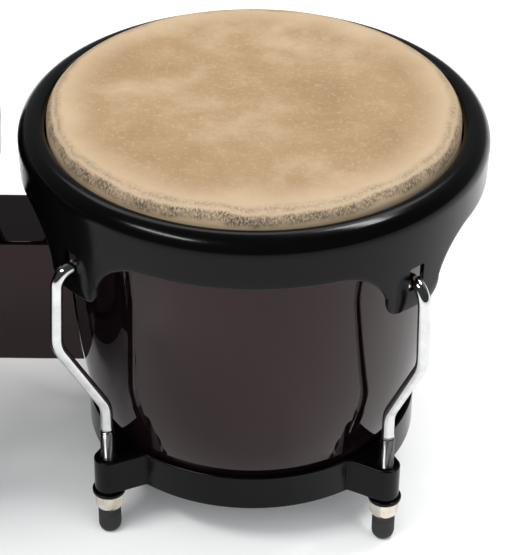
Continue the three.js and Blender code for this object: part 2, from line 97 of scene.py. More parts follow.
def add_node(
    tree: bpy.types.NodeTree,
    kind: str,
    settings: Mapping[str, object] | None = None,
    inputs: Mapping[str | int, object] | None = None,
    stops: Sequence[tuple[float, str]] = (),
) -> bpy.types.Node:
    """Adds a node, sets it up and links it.

    Args:
        tree: The node tree to add to.
        kind: The node's Blender type name.
        settings: Properties to set on the node.
        inputs: Input name or number to a value, or to the socket that feeds it.
        stops: For a colour ramp, its positions and hex colours.

    Returns:
        The new node.
    """
    node = tree.nodes.new(kind)
    for name, value in (settings or {}).items():
        setattr(node, name, value)
    for name, value in (inputs or {}).items():
        if isinstance(value, bpy.types.NodeSocket):
            tree.links.new(value, node.inputs[name])
        else:
            node.inputs[name].default_value = value
    for i, (position, colour) in enumerate(stops):
        elements = node.color_ramp.elements
        element = elements[i] if i < 2 else elements.new(position)
        element.position, element.color = position, linear(colour)
    return node


def new_material(name: str) -> tuple[bpy.types.Material, bpy.types.NodeTree]:
    """Makes an empty node material and returns it with its tree."""
    material = bpy.data.materials.new(name)
    material.use_nodes = True
    material.node_tree.nodes.clear()
    return material, material.node_tree


def close_material(tree: bpy.types.NodeTree, shader: Mapping[str | int, object]) -> None:
    """Adds the Principled shader with these inputs, and the output that shows it."""
    principled = add_node(tree, "ShaderNodeBsdfPrincipled", inputs=shader)
    add_node(tree, "ShaderNodeOutputMaterial", inputs={"Surface": principled.outputs[0]})


def object_direction(tree: bpy.types.NodeTree) -> bpy.types.NodeSocket:
    """For a world's tree, the direction that a ray leaves in."""
    return add_node(tree, "ShaderNodeTexCoord").outputs["Generated"]


def object_coordinates(tree: bpy.types.NodeTree) -> bpy.types.NodeSocket:
    """Coordinates in metres from the piece's own origin."""
    return add_node(tree, "ShaderNodeTexCoord").outputs["Object"]


# ---- finishes -----------------------------------------------------------------------------------


@dataclass(frozen=True)
class Rawhide:
    """Scraped, dried cow skin: matte, cloudy, with a band of hair stubble at the shoulder."""

    top_z: float
    radius: float
    tan: str = "#917756"
    deep_tan: str = "#866A49"
    chalk: str = "#AD977A"
    stubble: str = "#463E33"
    # Lighter tone on the side wall below the shoulder: painted light that lifts the shade falling in the gap
    # under the rim.
    side: str = "#C2AF8F"
    cloud_mm: float = 40.0
    fleck_mm: float = 1.6
    stubble_mm: float = 0.9
    cluster_mm: float = 9.0
    edge_wander_mm: float = 26.0
    edge_swing_mm: float = 10
    ring_mm: tuple[float, float] = (-18, 4)
    band_mm: tuple[float, float] = (-1.5, 14.5)
    lit_side_mm: tuple[float, float] = (9, 14)

    def build(self, name: str) -> bpy.types.Material:
        """Builds the material for one head.

        Args:
            name: Name for the material.

        Returns:
            The material.
        """
        material, tree = new_material(name)
        place = object_coordinates(tree)
        axis = add_node(tree, "ShaderNodeSeparateXYZ", inputs={0: place})
        flat = add_node(tree, "ShaderNodeVectorMath", {"operation": "MULTIPLY"}, {0: place, 1: (1, 1, 0)})
        reach = add_node(tree, "ShaderNodeVectorMath", {"operation": "LENGTH"}, {0: flat.outputs[0]})
        # Distance over the edge, in metres: grows outward across the top and then down the side.
        drop = add_node(
            tree, "ShaderNodeMath", {"operation": "SUBTRACT"}, {0: self.top_z, 1: axis.outputs[2]}
        )
        over = add_node(
            tree, "ShaderNodeMath", {"operation": "ADD"}, {0: reach.outputs["Value"], 1: drop.outputs[0]}
        )
        cloud = add_node(
            tree,
            "ShaderNodeTexNoise",
            inputs={"Vector": place, "Scale": 1 / (self.cloud_mm * MM), "Detail": 5.0, "Roughness": 0.62},
        )
        clouds = add_node(
            tree,
            "ShaderNodeValToRGB",
            inputs={0: cloud.outputs[0]},
            stops=[(0.30, self.deep_tan), (0.78, self.chalk), (0.5, self.tan)],
        )
        fleck = add_node(
            tree,
            "ShaderNodeTexNoise",
            inputs={"Vector": place, "Scale": 1 / (self.fleck_mm * MM), "Detail": 4.0, "Roughness": 0.75},
        )
        fleck_share = add_node(
            tree,
            "ShaderNodeMapRange",
            inputs={0: fleck.outputs[0], 1: 0.52, 2: 0.70, 3: 0.0, 4: 0.55},
        )
        flecked = add_node(
            tree,
            "ShaderNodeMix",
            {"data_type": "RGBA"},
            {0: fleck_share.outputs[0], 6: clouds.outputs[0], 7: linear(self.chalk)},
        )
        # Chalky ring where the skin is scraped thin, just inside the shoulder.
        edge_wander = add_node(
            tree,
            "ShaderNodeTexNoise",
            inputs={
                "Vector": place,
                "Scale": 1 / (self.edge_wander_mm * MM),
                "Detail": 3.0,
                "Roughness": 0.6,
            },
        )
        wander = add_node(
            tree,
            "ShaderNodeMath",
            {"operation": "MULTIPLY_ADD"},
            {0: edge_wander.outputs[0], 1: self.edge_swing_mm * MM, 2: over.outputs[0]},
        )
        ring_share = add_node(
            tree,
            "ShaderNodeMapRange",
            {"interpolation_type": "SMOOTHSTEP"},
            {
                0: wander.outputs[0],
                1: self.radius + self.ring_mm[0] * MM,
                2: self.radius + self.ring_mm[1] * MM,
                3: 0.0,
                4: 0.85,
            },
        )
        ringed = add_node(
            tree,
            "ShaderNodeMix",
            {"data_type": "RGBA"},
            {0: ring_share.outputs[0], 6: flecked.outputs[2], 7: linear(self.chalk)},
        )
        # Hair stubble: fine streaks that run over the shoulder, in a band with ragged edges.
        turn = add_node(
            tree, "ShaderNodeMath", {"operation": "ARCTAN2"}, {0: axis.outputs[1], 1: axis.outputs[0]}
        )
        along = add_node(
            tree, "ShaderNodeMath", {"operation": "MULTIPLY"}, {0: turn.outputs[0], 1: self.radius}
        )
        streak_place = add_node(
            tree, "ShaderNodeCombineXYZ", inputs={0: along.outputs[0], 1: over.outputs[0], 2: 0.0}
        )
        squeezed = add_node(
            tree,
            "ShaderNodeVectorMath",
            {"operation": "MULTIPLY"},
            {0: streak_place.outputs[0], 1: (1.0, 0.45, 1.0)},
        )
        streak = add_node(
            tree,
            "ShaderNodeTexNoise",
            inputs={
                "Vector": squeezed.outputs[0],
                "Scale": 1 / (self.stubble_mm * MM),
                "Detail": 3.0,
                "Roughness": 0.8,
            },
        )
        streaks = add_node(
            tree, "ShaderNodeMapRange", inputs={0: streak.outputs[0], 1: 0.4, 2: 0.54, 3: 0.2, 4: 1.0}
        )
        across = add_node(
            tree,
            "ShaderNodeMapRange",
            inputs={
                0: wander.outputs[0],
                1: self.radius + self.band_mm[0] * MM,
                2: self.radius + self.band_mm[1] * MM,
                3: 0.0,
                4: 1.0,
            },
        )
        # A thin, faint band on the shoulder and a dense one below it.
        band = add_node(
            tree,
            "ShaderNodeValToRGB",
            inputs={0: across.outputs[0]},
            stops=[
                (0.0, "#000000"),
                (1.0, "#000000"),
                (0.2, "#C8C8C8"),
                (0.36, "#606060"),
                (0.48, "#FFFFFF"),
                (0.72, "#F4F4F4"),
                (0.84, "#000000"),
            ],
        )
        # The stubble stands in clusters with thin places between them.
        cluster = add_node(
            tree,
            "ShaderNodeTexNoise",
            inputs={"Vector": place, "Scale": 1 / (self.cluster_mm * MM), "Detail": 3.0, "Roughness": 0.7},
        )
        clustered = add_node(
            tree, "ShaderNodeMapRange", inputs={0: cluster.outputs[0], 1: 0.36, 2: 0.6, 3: 0.5, 4: 1.0}
        )
        thinned = add_node(
            tree, "ShaderNodeMath", {"operation": "MULTIPLY"}, {0: band.outputs[0], 1: clustered.outputs[0]}
        )
        stubble_share = add_node(
            tree, "ShaderNodeMath", {"operation": "MULTIPLY"}, {0: thinned.outputs[0], 1: streaks.outputs[0]}
        )
        stubbled = add_node(
            tree,
            "ShaderNodeMix",
            {"data_type": "RGBA"},
            {0: stubble_share.outputs[0], 6: ringed.outputs[2], 7: linear(self.stubble)},
        )
        # Painted light: the side wall is mixed toward a lighter tone, to lift the shade that falls in the
        # gap under the rim.
        lit_side_share = add_node(
            tree,
            "ShaderNodeMapRange",
            inputs={
                0: over.outputs[0],
                1: self.radius + self.lit_side_mm[0] * MM,
                2: self.radius + self.lit_side_mm[1] * MM,
                3: 0.0,
                4: 0.8,
            },
        )
        coloured = add_node(
            tree,
            "ShaderNodeMix",
            {"data_type": "RGBA"},
            {0: lit_side_share.outputs[0], 6: stubbled.outputs[2], 7: linear(self.side)},
        )
        rough = add_node(
            tree, "ShaderNodeMapRange", inputs={0: fleck.outputs[0], 1: 0.3, 2: 0.7, 3: 0.55, 4: 0.78}
        )
        grain = add_node(
            tree, "ShaderNodeMath", {"operation": "ADD"}, {0: fleck.outputs[0], 1: stubble_share.outputs[0]}
        )
        bump = add_node(
            tree,
            "ShaderNodeBump",
            inputs={"Strength": 0.35, "Distance": 0.12 * MM, "Height": grain.outputs[0]},
        )
        close_material(
            tree,
            {
                "Base Color": coloured.outputs[2],
                "Roughness": rough.outputs[0],
                "IOR": 1.5,
                "Specular IOR Level": 0.35,
                "Normal": bump.outputs[0],
            },
        )
        return material


@dataclass(frozen=True)
class LacqueredWood:
    """Stained wood under gloss lacquer: almost black, with a mirror-smooth, faintly red shine."""

    base: str = "#0B0506"
    dark: str = "#080304"
    light: str = "#0E0708"
    tint: str = "#F0CDCF"
    grain_mm: float = 1.8
    run_mm: float = 70.0
    stave_count: int = 18
    specular: float = 0.37
    roughness: float = 0.03

    def build(self, name: str) -> bpy.types.Material:
        """Builds the material.

        Args:
            name: Name for the material.

        Returns:
            The material.
        """
        material, tree = new_material(name)
        place = object_coordinates(tree)
        axis = add_node(tree, "ShaderNodeSeparateXYZ", inputs={0: place})
        turn = add_node(
            tree, "ShaderNodeMath", {"operation": "ARCTAN2"}, {0: axis.outputs[1], 1: axis.outputs[0]}
        )
        stave = add_node(
            tree,
            "ShaderNodeMath",
            {"operation": "MULTIPLY_ADD"},
            {0: turn.outputs[0], 1: self.stave_count / (2 * math.pi), 2: 0.35},
        )
        number = add_node(tree, "ShaderNodeMath", {"operation": "FLOOR"}, {0: stave.outputs[0]})
        tone = add_node(
            tree, "ShaderNodeTexWhiteNoise", {"noise_dimensions": "1D"}, {"W": number.outputs[0]}
        )
        stretched = add_node(
            tree,
            "ShaderNodeVectorMath",
            {"operation": "MULTIPLY"},
            {0: place, 1: (1.0, 1.0, self.grain_mm / self.run_mm)},
        )
        shifted = add_node(
            tree,
            "ShaderNodeVectorMath",
            {"operation": "ADD"},
            {0: stretched.outputs[0], 1: tone.outputs["Color"]},
        )
        grain = add_node(
            tree,
            "ShaderNodeTexNoise",
            inputs={
                "Vector": shifted.outputs[0],
                "Scale": 1 / (self.grain_mm * MM),
                "Detail": 4.0,
                "Roughness": 0.6,
                "Distortion": 0.4,
            },
        )
        figure = add_node(
            tree,
            "ShaderNodeValToRGB",
            inputs={0: grain.outputs[0]},
            stops=[(0.32, self.dark), (0.70, self.light), (0.5, self.base)],
        )
        tint = add_node(
            tree, "ShaderNodeMapRange", inputs={0: tone.outputs["Value"], 1: 0.0, 2: 1.0, 3: 0.82, 4: 1.2}
        )
        toned = add_node(
            tree,
            "ShaderNodeVectorMath",
            {"operation": "SCALE"},
            {0: figure.outputs[0], "Scale": tint.outputs[0]},
        )
        bump = add_node(
            tree,
            "ShaderNodeBump",
            inputs={"Strength": 0.05, "Distance": 0.01 * MM, "Height": grain.outputs[0]},
        )
        close_material(
            tree,
            {
                "Base Color": toned.outputs[0],
                "Roughness": self.roughness,
                "IOR": 1.5,
                "Specular IOR Level": self.specular,
                "Specular Tint": linear(self.tint),
                "Normal": bump.outputs[0],
            },
        )
        return material


@dataclass(frozen=True)
class Enamel:
    """Sprayed and baked coat on steel: even colour with a fine orange peel."""

    colour: str
    roughness: float
    peel_mm: float = 1.3
    peel_height_mm: float = 0.012
    specular: float = 0.14
    handling_mm: float = 18.0

    def build(self, name: str) -> bpy.types.Material:
        """Builds the material.

        Args:
            name: Name for the material.

        Returns:
            The material.
        """
        material, tree = new_material(name)
        place = object_coordinates(tree)
        peel = add_node(
            tree,
            "ShaderNodeTexNoise",
            inputs={"Vector": place, "Scale": 1 / (self.peel_mm * MM), "Detail": 2.0, "Roughness": 0.5},
        )
        handling = add_node(
            tree,
            "ShaderNodeTexNoise",
            inputs={"Vector": place, "Scale": 1 / (self.handling_mm * MM), "Detail": 4.0, "Roughness": 0.6},
        )
        rough = add_node(
            tree,
            "ShaderNodeMapRange",
            inputs={
                0: handling.outputs[0],
                1: 0.3,
                2: 0.7,
                3: self.roughness - 0.04,
                4: self.roughness + 0.05,
            },
        )
        bump = add_node(
            tree,
            "ShaderNodeBump",
            inputs={"Strength": 0.5, "Distance": self.peel_height_mm * MM, "Height": peel.outputs[0]},
        )
        close_material(
            tree,
            {
                "Base Color": linear(self.colour),
                "Roughness": rough.outputs[0],
                "IOR": 1.5,
                "Specular IOR Level": self.specular,
                "Normal": bump.outputs[0],
            },
        )
        return material


@dataclass(frozen=True)
class Metal:
    """Plated or bare steel: metallic, with a fine bump of marks and a slight bloom."""

    colour: str
    dull: str
    roughness: float
    spread: float
    mark_mm: float = 0.4
    bloom_mm: float = 6.0
    thread_top_mm: float = 0.0
    groove_mm: float = 2.4
    crest_mm: float = 3.1
    # Dark tone for the thread's grooves: painted shade, with some old oil.
    groove_oil_and_shade: str = "#161616"

    def groove_share(self, tree: bpy.types.NodeTree, place: bpy.types.NodeSocket) -> bpy.types.NodeSocket:
        """How deep in a thread's groove a point lies: 1 at the root, and 0 on the crest.

        Args:
            tree: The material's node tree.
            place: Coordinates about the rod's own axis.

        Returns:
            The socket with the share, which is 0 above the thread.
        """
        axis = add_node(tree, "ShaderNodeSeparateXYZ", inputs={0: place})
        flat = add_node(tree, "ShaderNodeVectorMath", {"operation": "MULTIPLY"}, {0: place, 1: (1, 1, 0)})
        reach = add_node(tree, "ShaderNodeVectorMath", {"operation": "LENGTH"}, {0: flat.outputs[0]})
        depth = add_node(
            tree,
            "ShaderNodeMapRange",
            inputs={
                0: reach.outputs["Value"],
                1: self.groove_mm * MM,
                2: self.crest_mm * MM,
                3: 1.0,
                4: 0.0,
            },
        )
        below = add_node(
            tree,
            "ShaderNodeMath",
            {"operation": "LESS_THAN"},
            {0: axis.outputs[2], 1: self.thread_top_mm * MM},
        )
        share = add_node(
            tree, "ShaderNodeMath", {"operation": "MULTIPLY"}, {0: depth.outputs[0], 1: below.outputs[0]}
        )
        return share.outputs[0]

    def build(self, name: str) -> bpy.types.Material:
        """Builds the material.

        Args:
            name: Name for the material.

        Returns:
            The material.
        """
        material, tree = new_material(name)
        place = object_coordinates(tree)
        bloom = add_node(
            tree,
            "ShaderNodeTexNoise",
            inputs={"Vector": place, "Scale": 1 / (self.bloom_mm * MM), "Detail": 4.0, "Roughness": 0.6},
        )
        colour = add_node(
            tree,
            "ShaderNodeValToRGB",
            inputs={0: bloom.outputs[0]},
            stops=[(0.35, self.dull), (0.62, self.colour)],
        )
        rough = add_node(
            tree,
            "ShaderNodeMapRange",
            inputs={0: bloom.outputs[0], 1: 0.3, 2: 0.7, 3: self.roughness + self.spread, 4: self.roughness},
        )
        mark = add_node(
            tree,
            "ShaderNodeTexNoise",
            inputs={"Vector": place, "Scale": 1 / (self.mark_mm * MM), "Detail": 2.0},
        )
        bump = add_node(
            tree,
            "ShaderNodeBump",
            inputs={"Strength": 0.12, "Distance": 0.01 * MM, "Height": mark.outputs[0]},
        )
        tone = colour.outputs[0]
        if self.thread_top_mm:
            # Painted shade, with old oil, darkens the thread's grooves.
            oil_and_shade_mix = add_node(
                tree,
                "ShaderNodeMix",
                {"data_type": "RGBA"},
                {0: self.groove_share(tree, place), 6: tone, 7: linear(self.groove_oil_and_shade)},
            )
            tone = oil_and_shade_mix.outputs[2]
        close_material(
            tree,
            {
                "Base Color": tone,
                "Metallic": 1.0,
                "Roughness": rough.outputs[0],
                "Normal": bump.outputs[0],
            },
        )
        return material


@dataclass(frozen=True)
class Rubber:
    """Moulded black rubber: matte, with a fine pitted skin and some dust."""

    colour: str = "#141415"
    dust: str = "#1E1E20"
    pit_mm: float = 0.5
    dust_mm: float = 4.0

    def build(self, name: str) -> bpy.types.Material:
        """Builds the material.

        Args:
            name: Name for the material.

        Returns:
            The material.
        """
        material, tree = new_material(name)
        place = object_coordinates(tree)
        dust = add_node(
            tree,
            "ShaderNodeTexNoise",
            inputs={"Vector": place, "Scale": 1 / (self.dust_mm * MM), "Detail": 5.0},
        )
        colour = add_node(
            tree,
            "ShaderNodeValToRGB",
            inputs={0: dust.outputs[0]},
            stops=[(0.42, self.colour), (0.75, self.dust)],
        )
        pits = add_node(
            tree,
            "ShaderNodeTexNoise",
            inputs={"Vector": place, "Scale": 1 / (self.pit_mm * MM), "Detail": 2.0},
        )
        bump = add_node(
            tree,
            "ShaderNodeBump",
            inputs={"Strength": 0.4, "Distance": 0.03 * MM, "Height": pits.outputs[0]},
        )
        close_material(
            tree,
            {"Base Color": colour.outputs[0], "Roughness": 0.72, "IOR": 1.5, "Normal": bump.outputs[0]},
        )
        return material


# ---- mesh helpers -------------------------------------------------------------------------------


def arc(centre: Point, radius: float, start: float, end: float, steps: int) -> list[Point]:
    """Points on a circle's arc.

    Args:
        centre: The circle's centre.
        radius: Its radius.
        start: First angle in degrees.
        end: Last angle in degrees.
        steps: Number of steps between them.

    Returns:
        steps + 1 points.
    """
    angles = np.radians(np.linspace(start, end, steps + 1))
    return [(centre[0] + radius * math.cos(a), centre[1] + radius * math.sin(a)) for a in angles]


def rounded(corners: Sequence[Point], radius: float, steps: int = 4) -> list[Point]:
    """Rounds every corner of a closed outline.

    Args:
        corners: The outline's corners, in order.
        radius: Radius of the rounding, made smaller where an edge is too short for it.
        steps: Number of steps in each rounding.

    Returns:
        The rounded outline's points.
    """
    points: list[Point] = []
    count = len(corners)
    for i in range(count):
        before, here, after = (np.array(corners[(i + k) % count], float) for k in (-1, 0, 1))
        back, ahead = before - here, after - here
        lengths = np.linalg.norm(back), np.linalg.norm(ahead)
        back, ahead = back / lengths[0], ahead / lengths[1]
        half = math.acos(float(np.clip(back @ ahead, -1, 1))) / 2
        lead = min(radius / math.tan(half), 0.45 * min(lengths))
        start, end = here + back * lead, here + ahead * lead
        for t in np.linspace(0, 1, steps + 1):
            p = (1 - t) ** 2 * start + 2 * t * (1 - t) * here + t**2 * end
            points.append((float(p[0]), float(p[1])))
    return points


def grid_faces(rows: int, columns: int, wrap_rows: bool, wrap_columns: bool) -> list[tuple[int, ...]]:
    """Quads that join a grid of vertices numbered row by row.

    Args:
        rows: Number of rows.
        columns: Number of vertices in a row.
        wrap_rows: Whether the last row joins the first.
        wrap_columns: Whether each row closes on itself.

    Returns:
        The quads.
    """
    faces = []
    for i in range(rows if wrap_rows else rows - 1):
        for j in range(columns if wrap_columns else columns - 1):
            k, m = (i + 1) % rows, (j + 1) % columns
            faces.append((i * columns + j, i * columns + m, k * columns + m, k * columns + j))
    return faces


def make_object(
    name: str,
    points: Sequence[Sequence[float]],
    faces: Sequence[Sequence[int]],
    smooth_below: float = 35.0,
) -> bpy.types.Object:
    """Makes a mesh object with outward faces from points in millimetres.

    Args:
        name: Name for the object.
        points: Vertex positions in millimetres.
        faces: Vertex numbers of each face.
        smooth_below: Edges that bend more than this many degrees stay sharp.

    Returns:
        The object, linked to the scene.
    """
    mesh = bpy.data.meshes.new(name)
    mesh.from_pydata((np.array(points, float) * MM).tolist(), [], [list(f) for f in faces])
    work = bmesh.new()
    work.from_mesh(mesh)
    bmesh.ops.remove_doubles(work, verts=work.verts, dist=1e-7)
    bmesh.ops.dissolve_degenerate(work, edges=work.edges, dist=1e-8)
    bmesh.ops.recalc_face_normals(work, faces=work.faces)
    if work.calc_volume(signed=True) < 0:
        bmesh.ops.reverse_faces(work, faces=work.faces)
    work.to_mesh(mesh)
    work.free()
    mesh.shade_smooth()
    mesh.set_sharp_from_angle(angle=math.radians(smooth_below))
    piece = bpy.data.objects.new(name, mesh)
    bpy.context.scene.collection.objects.link(piece)
    return piece


def revolve(
    name: str, outline: Sequence[Point], around: int = 192, smooth_below: float = 35.0
) -> bpy.types.Object:
    """Turns a closed outline of (radius, height) points about Z.

    Args:
        name: Name for the object.
        outline: The outline's points, in millimetres.
        around: Number of steps around the axis.
        smooth_below: Edges that bend more than this many degrees stay sharp.

    Returns:
        The object.
    """
    turns = np.linspace(0, 2 * math.pi, around, endpoint=False)
    points = [(r * math.cos(a), r * math.sin(a), z) for r, z in outline for a in turns]
    return make_object(name, points, grid_faces(len(outline), around, True, True), smooth_below)


def inset_loop(loop: Sequence[Point], distance: float) -> list[Point]:
    """Moves a closed outline to its left by a distance, point by point.

    Args:
        loop: The outline's points.
        distance: How far to move it.

    Returns:
        The moved outline.
    """
    here = np.array(loop, float)
    along = np.roll(here, -1, axis=0) - np.roll(here, 1, axis=0)
    along /= np.linalg.norm(along, axis=1)[:, None]
    left = np.stack([-along[:, 1], along[:, 0]], axis=1)
    return [tuple(p) for p in here + left * distance]


def extrude_loops(
    name: str,
    loops: Sequence[Sequence[Point]],
    low: float,
    high: float,
    edge: float,
    steps: int = 3,
) -> bpy.types.Object:
    """Extrudes an outline with holes upward, with rounded edges.

    Args:
        name: Name for the object.
        loops: The outer outline, counter-clockwise, and then the holes, clockwise.
        low: Height of the lower face.
        high: Height of the upper face.
        edge: Radius of the rounding along both faces' edges.
        steps: Number of steps in the rounding.

    Returns:
        The object.
    """
    quarter = np.linspace(0, math.pi / 2, steps + 1)
    levels = [(edge * (1 - math.sin(a)), low + edge * (1 - math.cos(a))) for a in quarter]
    levels += [(inset, high + low - z) for inset, z in reversed(levels)]
    points: list[tuple[float, float, float]] = []
    faces: list[tuple[int, ...]] = []
    caps: dict[str, list[list[int]]] = {"low": [], "high": []}
    for loop in loops:
        base, count = len(points), len(loop)
        for inset, z in levels:
            points += [(x, y, z) for x, y in inset_loop(loop, inset)]
        faces += [tuple(base + k for k in f) for f in grid_faces(len(levels), count, False, True)]
        caps["low"].append([base + k for k in range(count)])
        caps["high"].append([base + (len(levels) - 1) * count + k for k in range(count)])
    for rings in caps.values():
        order = [k for ring in rings for k in ring]
        triangles = geometry.tessellate_polygon([[Vector(points[k]) for k in ring] for ring in rings])
        faces += [tuple(order[k] for k in triangle) for triangle in triangles]
    return make_object(name, points, faces, 50.0)


def weigh_normals(piece: bpy.types.Object) -> bpy.types.Object:
    """Shades the piece by face area, so that flat faces stay flat beside rounded edges."""
    modifier = piece.modifiers.new("area_weighted_shading", "WEIGHTED_NORMAL")
    modifier.keep_sharp = True
    return piece


def apply_modifiers(piece: bpy.types.Object) -> bpy.types.Object:
    """Bakes the piece's modifiers into its mesh."""
    bpy.context.view_layer.update()
    shown = piece.evaluated_get(bpy.context.evaluated_depsgraph_get())
    mesh = bpy.data.meshes.new_from_object(shown)
    piece.modifiers.clear()
    piece.data = mesh
    return piece


def combine(piece: bpy.types.Object, tool: bpy.types.Object, operation: str) -> bpy.types.Object:
    """Cuts or joins a piece with a tool, which is then removed.

    Args:
        piece: The object to change.
        tool: The object to use on it.
        operation: DIFFERENCE, INTERSECT or UNION.

    Returns:
        The changed piece.
    """
    modifier = piece.modifiers.new("combine", "BOOLEAN")
    modifier.object, modifier.operation, modifier.solver = tool, operation, "EXACT"
    apply_modifiers(piece)
    bpy.data.objects.remove(tool)
    return piece


def join_meshes(piece: bpy.types.Object, others: Sequence[bpy.types.Object]) -> bpy.types.Object:
    """Adds the others' meshes to the piece as they stand, and removes the others."""
    bpy.context.view_layer.update()
    work = bmesh.new()
    work.from_mesh(piece.data)
    for other in others:
        mesh = other.data.copy()
        mesh.transform(piece.matrix_world.inverted() @ other.matrix_world)
        work.from_mesh(mesh)
        bpy.data.meshes.remove(mesh)
        bpy.data.objects.remove(other)
    work.to_mesh(piece.data)
    work.free()
    return piece


def dress(
    piece: bpy.types.Object,
    body: str,
    materials: Sequence[bpy.types.Material],
    nodes: Sequence[str],
) -> None:
    """Gives a piece its materials and its place in the frame, and reports it.

    Args:
        piece: The finished object.
        body: The frame's body that it moves with.
        materials: Its materials, in the order of its faces' material numbers.
        nodes: The frame's nodes that it stands for.
    """
    piece.data.materials.clear()
    for material in materials:
        piece.data.materials.append(material)
    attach(piece, body)
    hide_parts(*nodes)
    LOG.info("%s: %d faces, moves with %s", piece.name, len(piece.data.polygons), body)


# ---- measures from the frame --------------------------------------------------------------------


def box_mm(node: str) -> tuple[np.ndarray, np.ndarray]:
    """A node's lowest and highest corners, in millimetres."""
    low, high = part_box(node)
    return np.array(low) / MM, np.array(high) / MM


def wall_profile(node: str, centre_x: float, outer: bool) -> tuple[np.ndarray, np.ndarray]:
    """Radius of a turned wall at each height that the frame's mesh has a ring at.

    Args:
        node: The frame's node.
        centre_x: Where its axis stands, in millimetres.
        outer: Whether to take the outer face or the inner one.

    Returns:
        Heights in rising order, and the radius at each.
    """
    vertices = np.array([v.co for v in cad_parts[node].data.vertices], float) / MM
    radii = np.hypot(vertices[:, 0] - centre_x, vertices[:, 1])
    heights = np.round(vertices[:, 2], 2)
    rings = [(z, radii[heights == z]) for z in np.unique(heights)]
    rings = [(z, r) for z, r in rings if len(r) >= 32]
    pick = np.max if outer else np.min
    return np.array([z for z, _ in rings]), np.array([pick(r) for _, r in rings])


@dataclass
class DrumPlace:
    """Where one drum stands and how large it is, read from the frame, in millimetres."""

    name: str

    def __post_init__(self) -> None:
        """Reads the drum's boxes."""
        low, high = box_mm(f"{self.name}_head")
        self.x = float(low[0] + high[0]) / 2
        self.head_radius = float(high[0] - low[0]) / 2
        self.top = float(high[2])
        low, high = box_mm(f"{self.name}_rim")
        self.rim_radius = float(high[0] - low[0]) / 2
        self.rim_bottom, self.rim_top = float(low[2]), float(high[2])
        low, high = box_mm(f"{self.name}_bottom_hoop")
        self.hoop_bottom, self.hoop_top = float(low[2]), float(high[2])
        low, high = box_mm(f"{self.name}_flesh_hoop")
        self.flesh_z = float(low[2] + high[2]) / 2
        self.flesh_radius = float(high[0] - low[0]) / 2
        low, high = box_mm(f"{self.name}_shell")
        self.shell_radius = float(high[0] - low[0]) / 2
        self.shell_bottom, self.shell_top = float(low[2]), float(high[2])
        centres = [self._centre(f"{self.name}_washer_{n}") for n in range(1, LUGS + 1)]
        self.rod_circle = float(np.mean([math.hypot(x - self.x, y) for x, y in centres]))
        self.lug_angles = [math.atan2(y, x - self.x) for x, y in centres]
        hooks = [self._hook_top(number) for number in range(1, LUGS + 1)]
        self.ear_angles = [math.atan2(y, x - self.x) for x, y in hooks]
        ways = [(hx - x, hy - y) for (hx, hy), (x, y) in zip(hooks, centres)]
        self.hook_reach = float(np.mean([math.hypot(x, y) for x, y in ways]))
        self.rod_yaw = math.remainder(math.atan2(ways[0][1], ways[0][0]) - self.lug_angles[0], 2 * math.pi)

    def _centre(self, node: str) -> Point:
        """Middle of a node's box, seen from above."""
        low, high = box_mm(node)
        return float(low[0] + high[0]) / 2, float(low[1] + high[1]) / 2

    def _hook_top(self, number: int) -> Point:
        """Where a rod's hook is highest, seen from above."""
        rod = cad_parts[f"{self.name}_tuning_rod_{number}"]
        vertices = np.array([v.co for v in rod.data.vertices], float) / MM
        top = vertices[vertices[:, 2] > vertices[:, 2].max() - 0.05]
        return float(top[:, 0].mean()), float(top[:, 1].mean())

    def stand(self, piece: bpy.types.Object) -> bpy.types.Object:
        """Puts a piece that was built about the drum's axis in its place."""
        piece.location = (self.x * MM, 0, 0)
        return piece

    def stand_at_lug(self, piece: bpy.types.Object, number: int, yaw: float = 0.0) -> bpy.types.Object:
        """Puts a piece that was built about a rod's axis at a lug, with +X outward plus a yaw."""
        angle = self.lug_angles[number - 1]
        x = self.x + self.rod_circle * math.cos(angle)
        y = self.rod_circle * math.sin(angle)
        piece.matrix_world = Matrix.Translation((x * MM, y * MM, 0)) @ Matrix.Rotation(angle + yaw, 4, "Z")
        return piece


# ---- the drums ----------------------------------------------------------------------------------


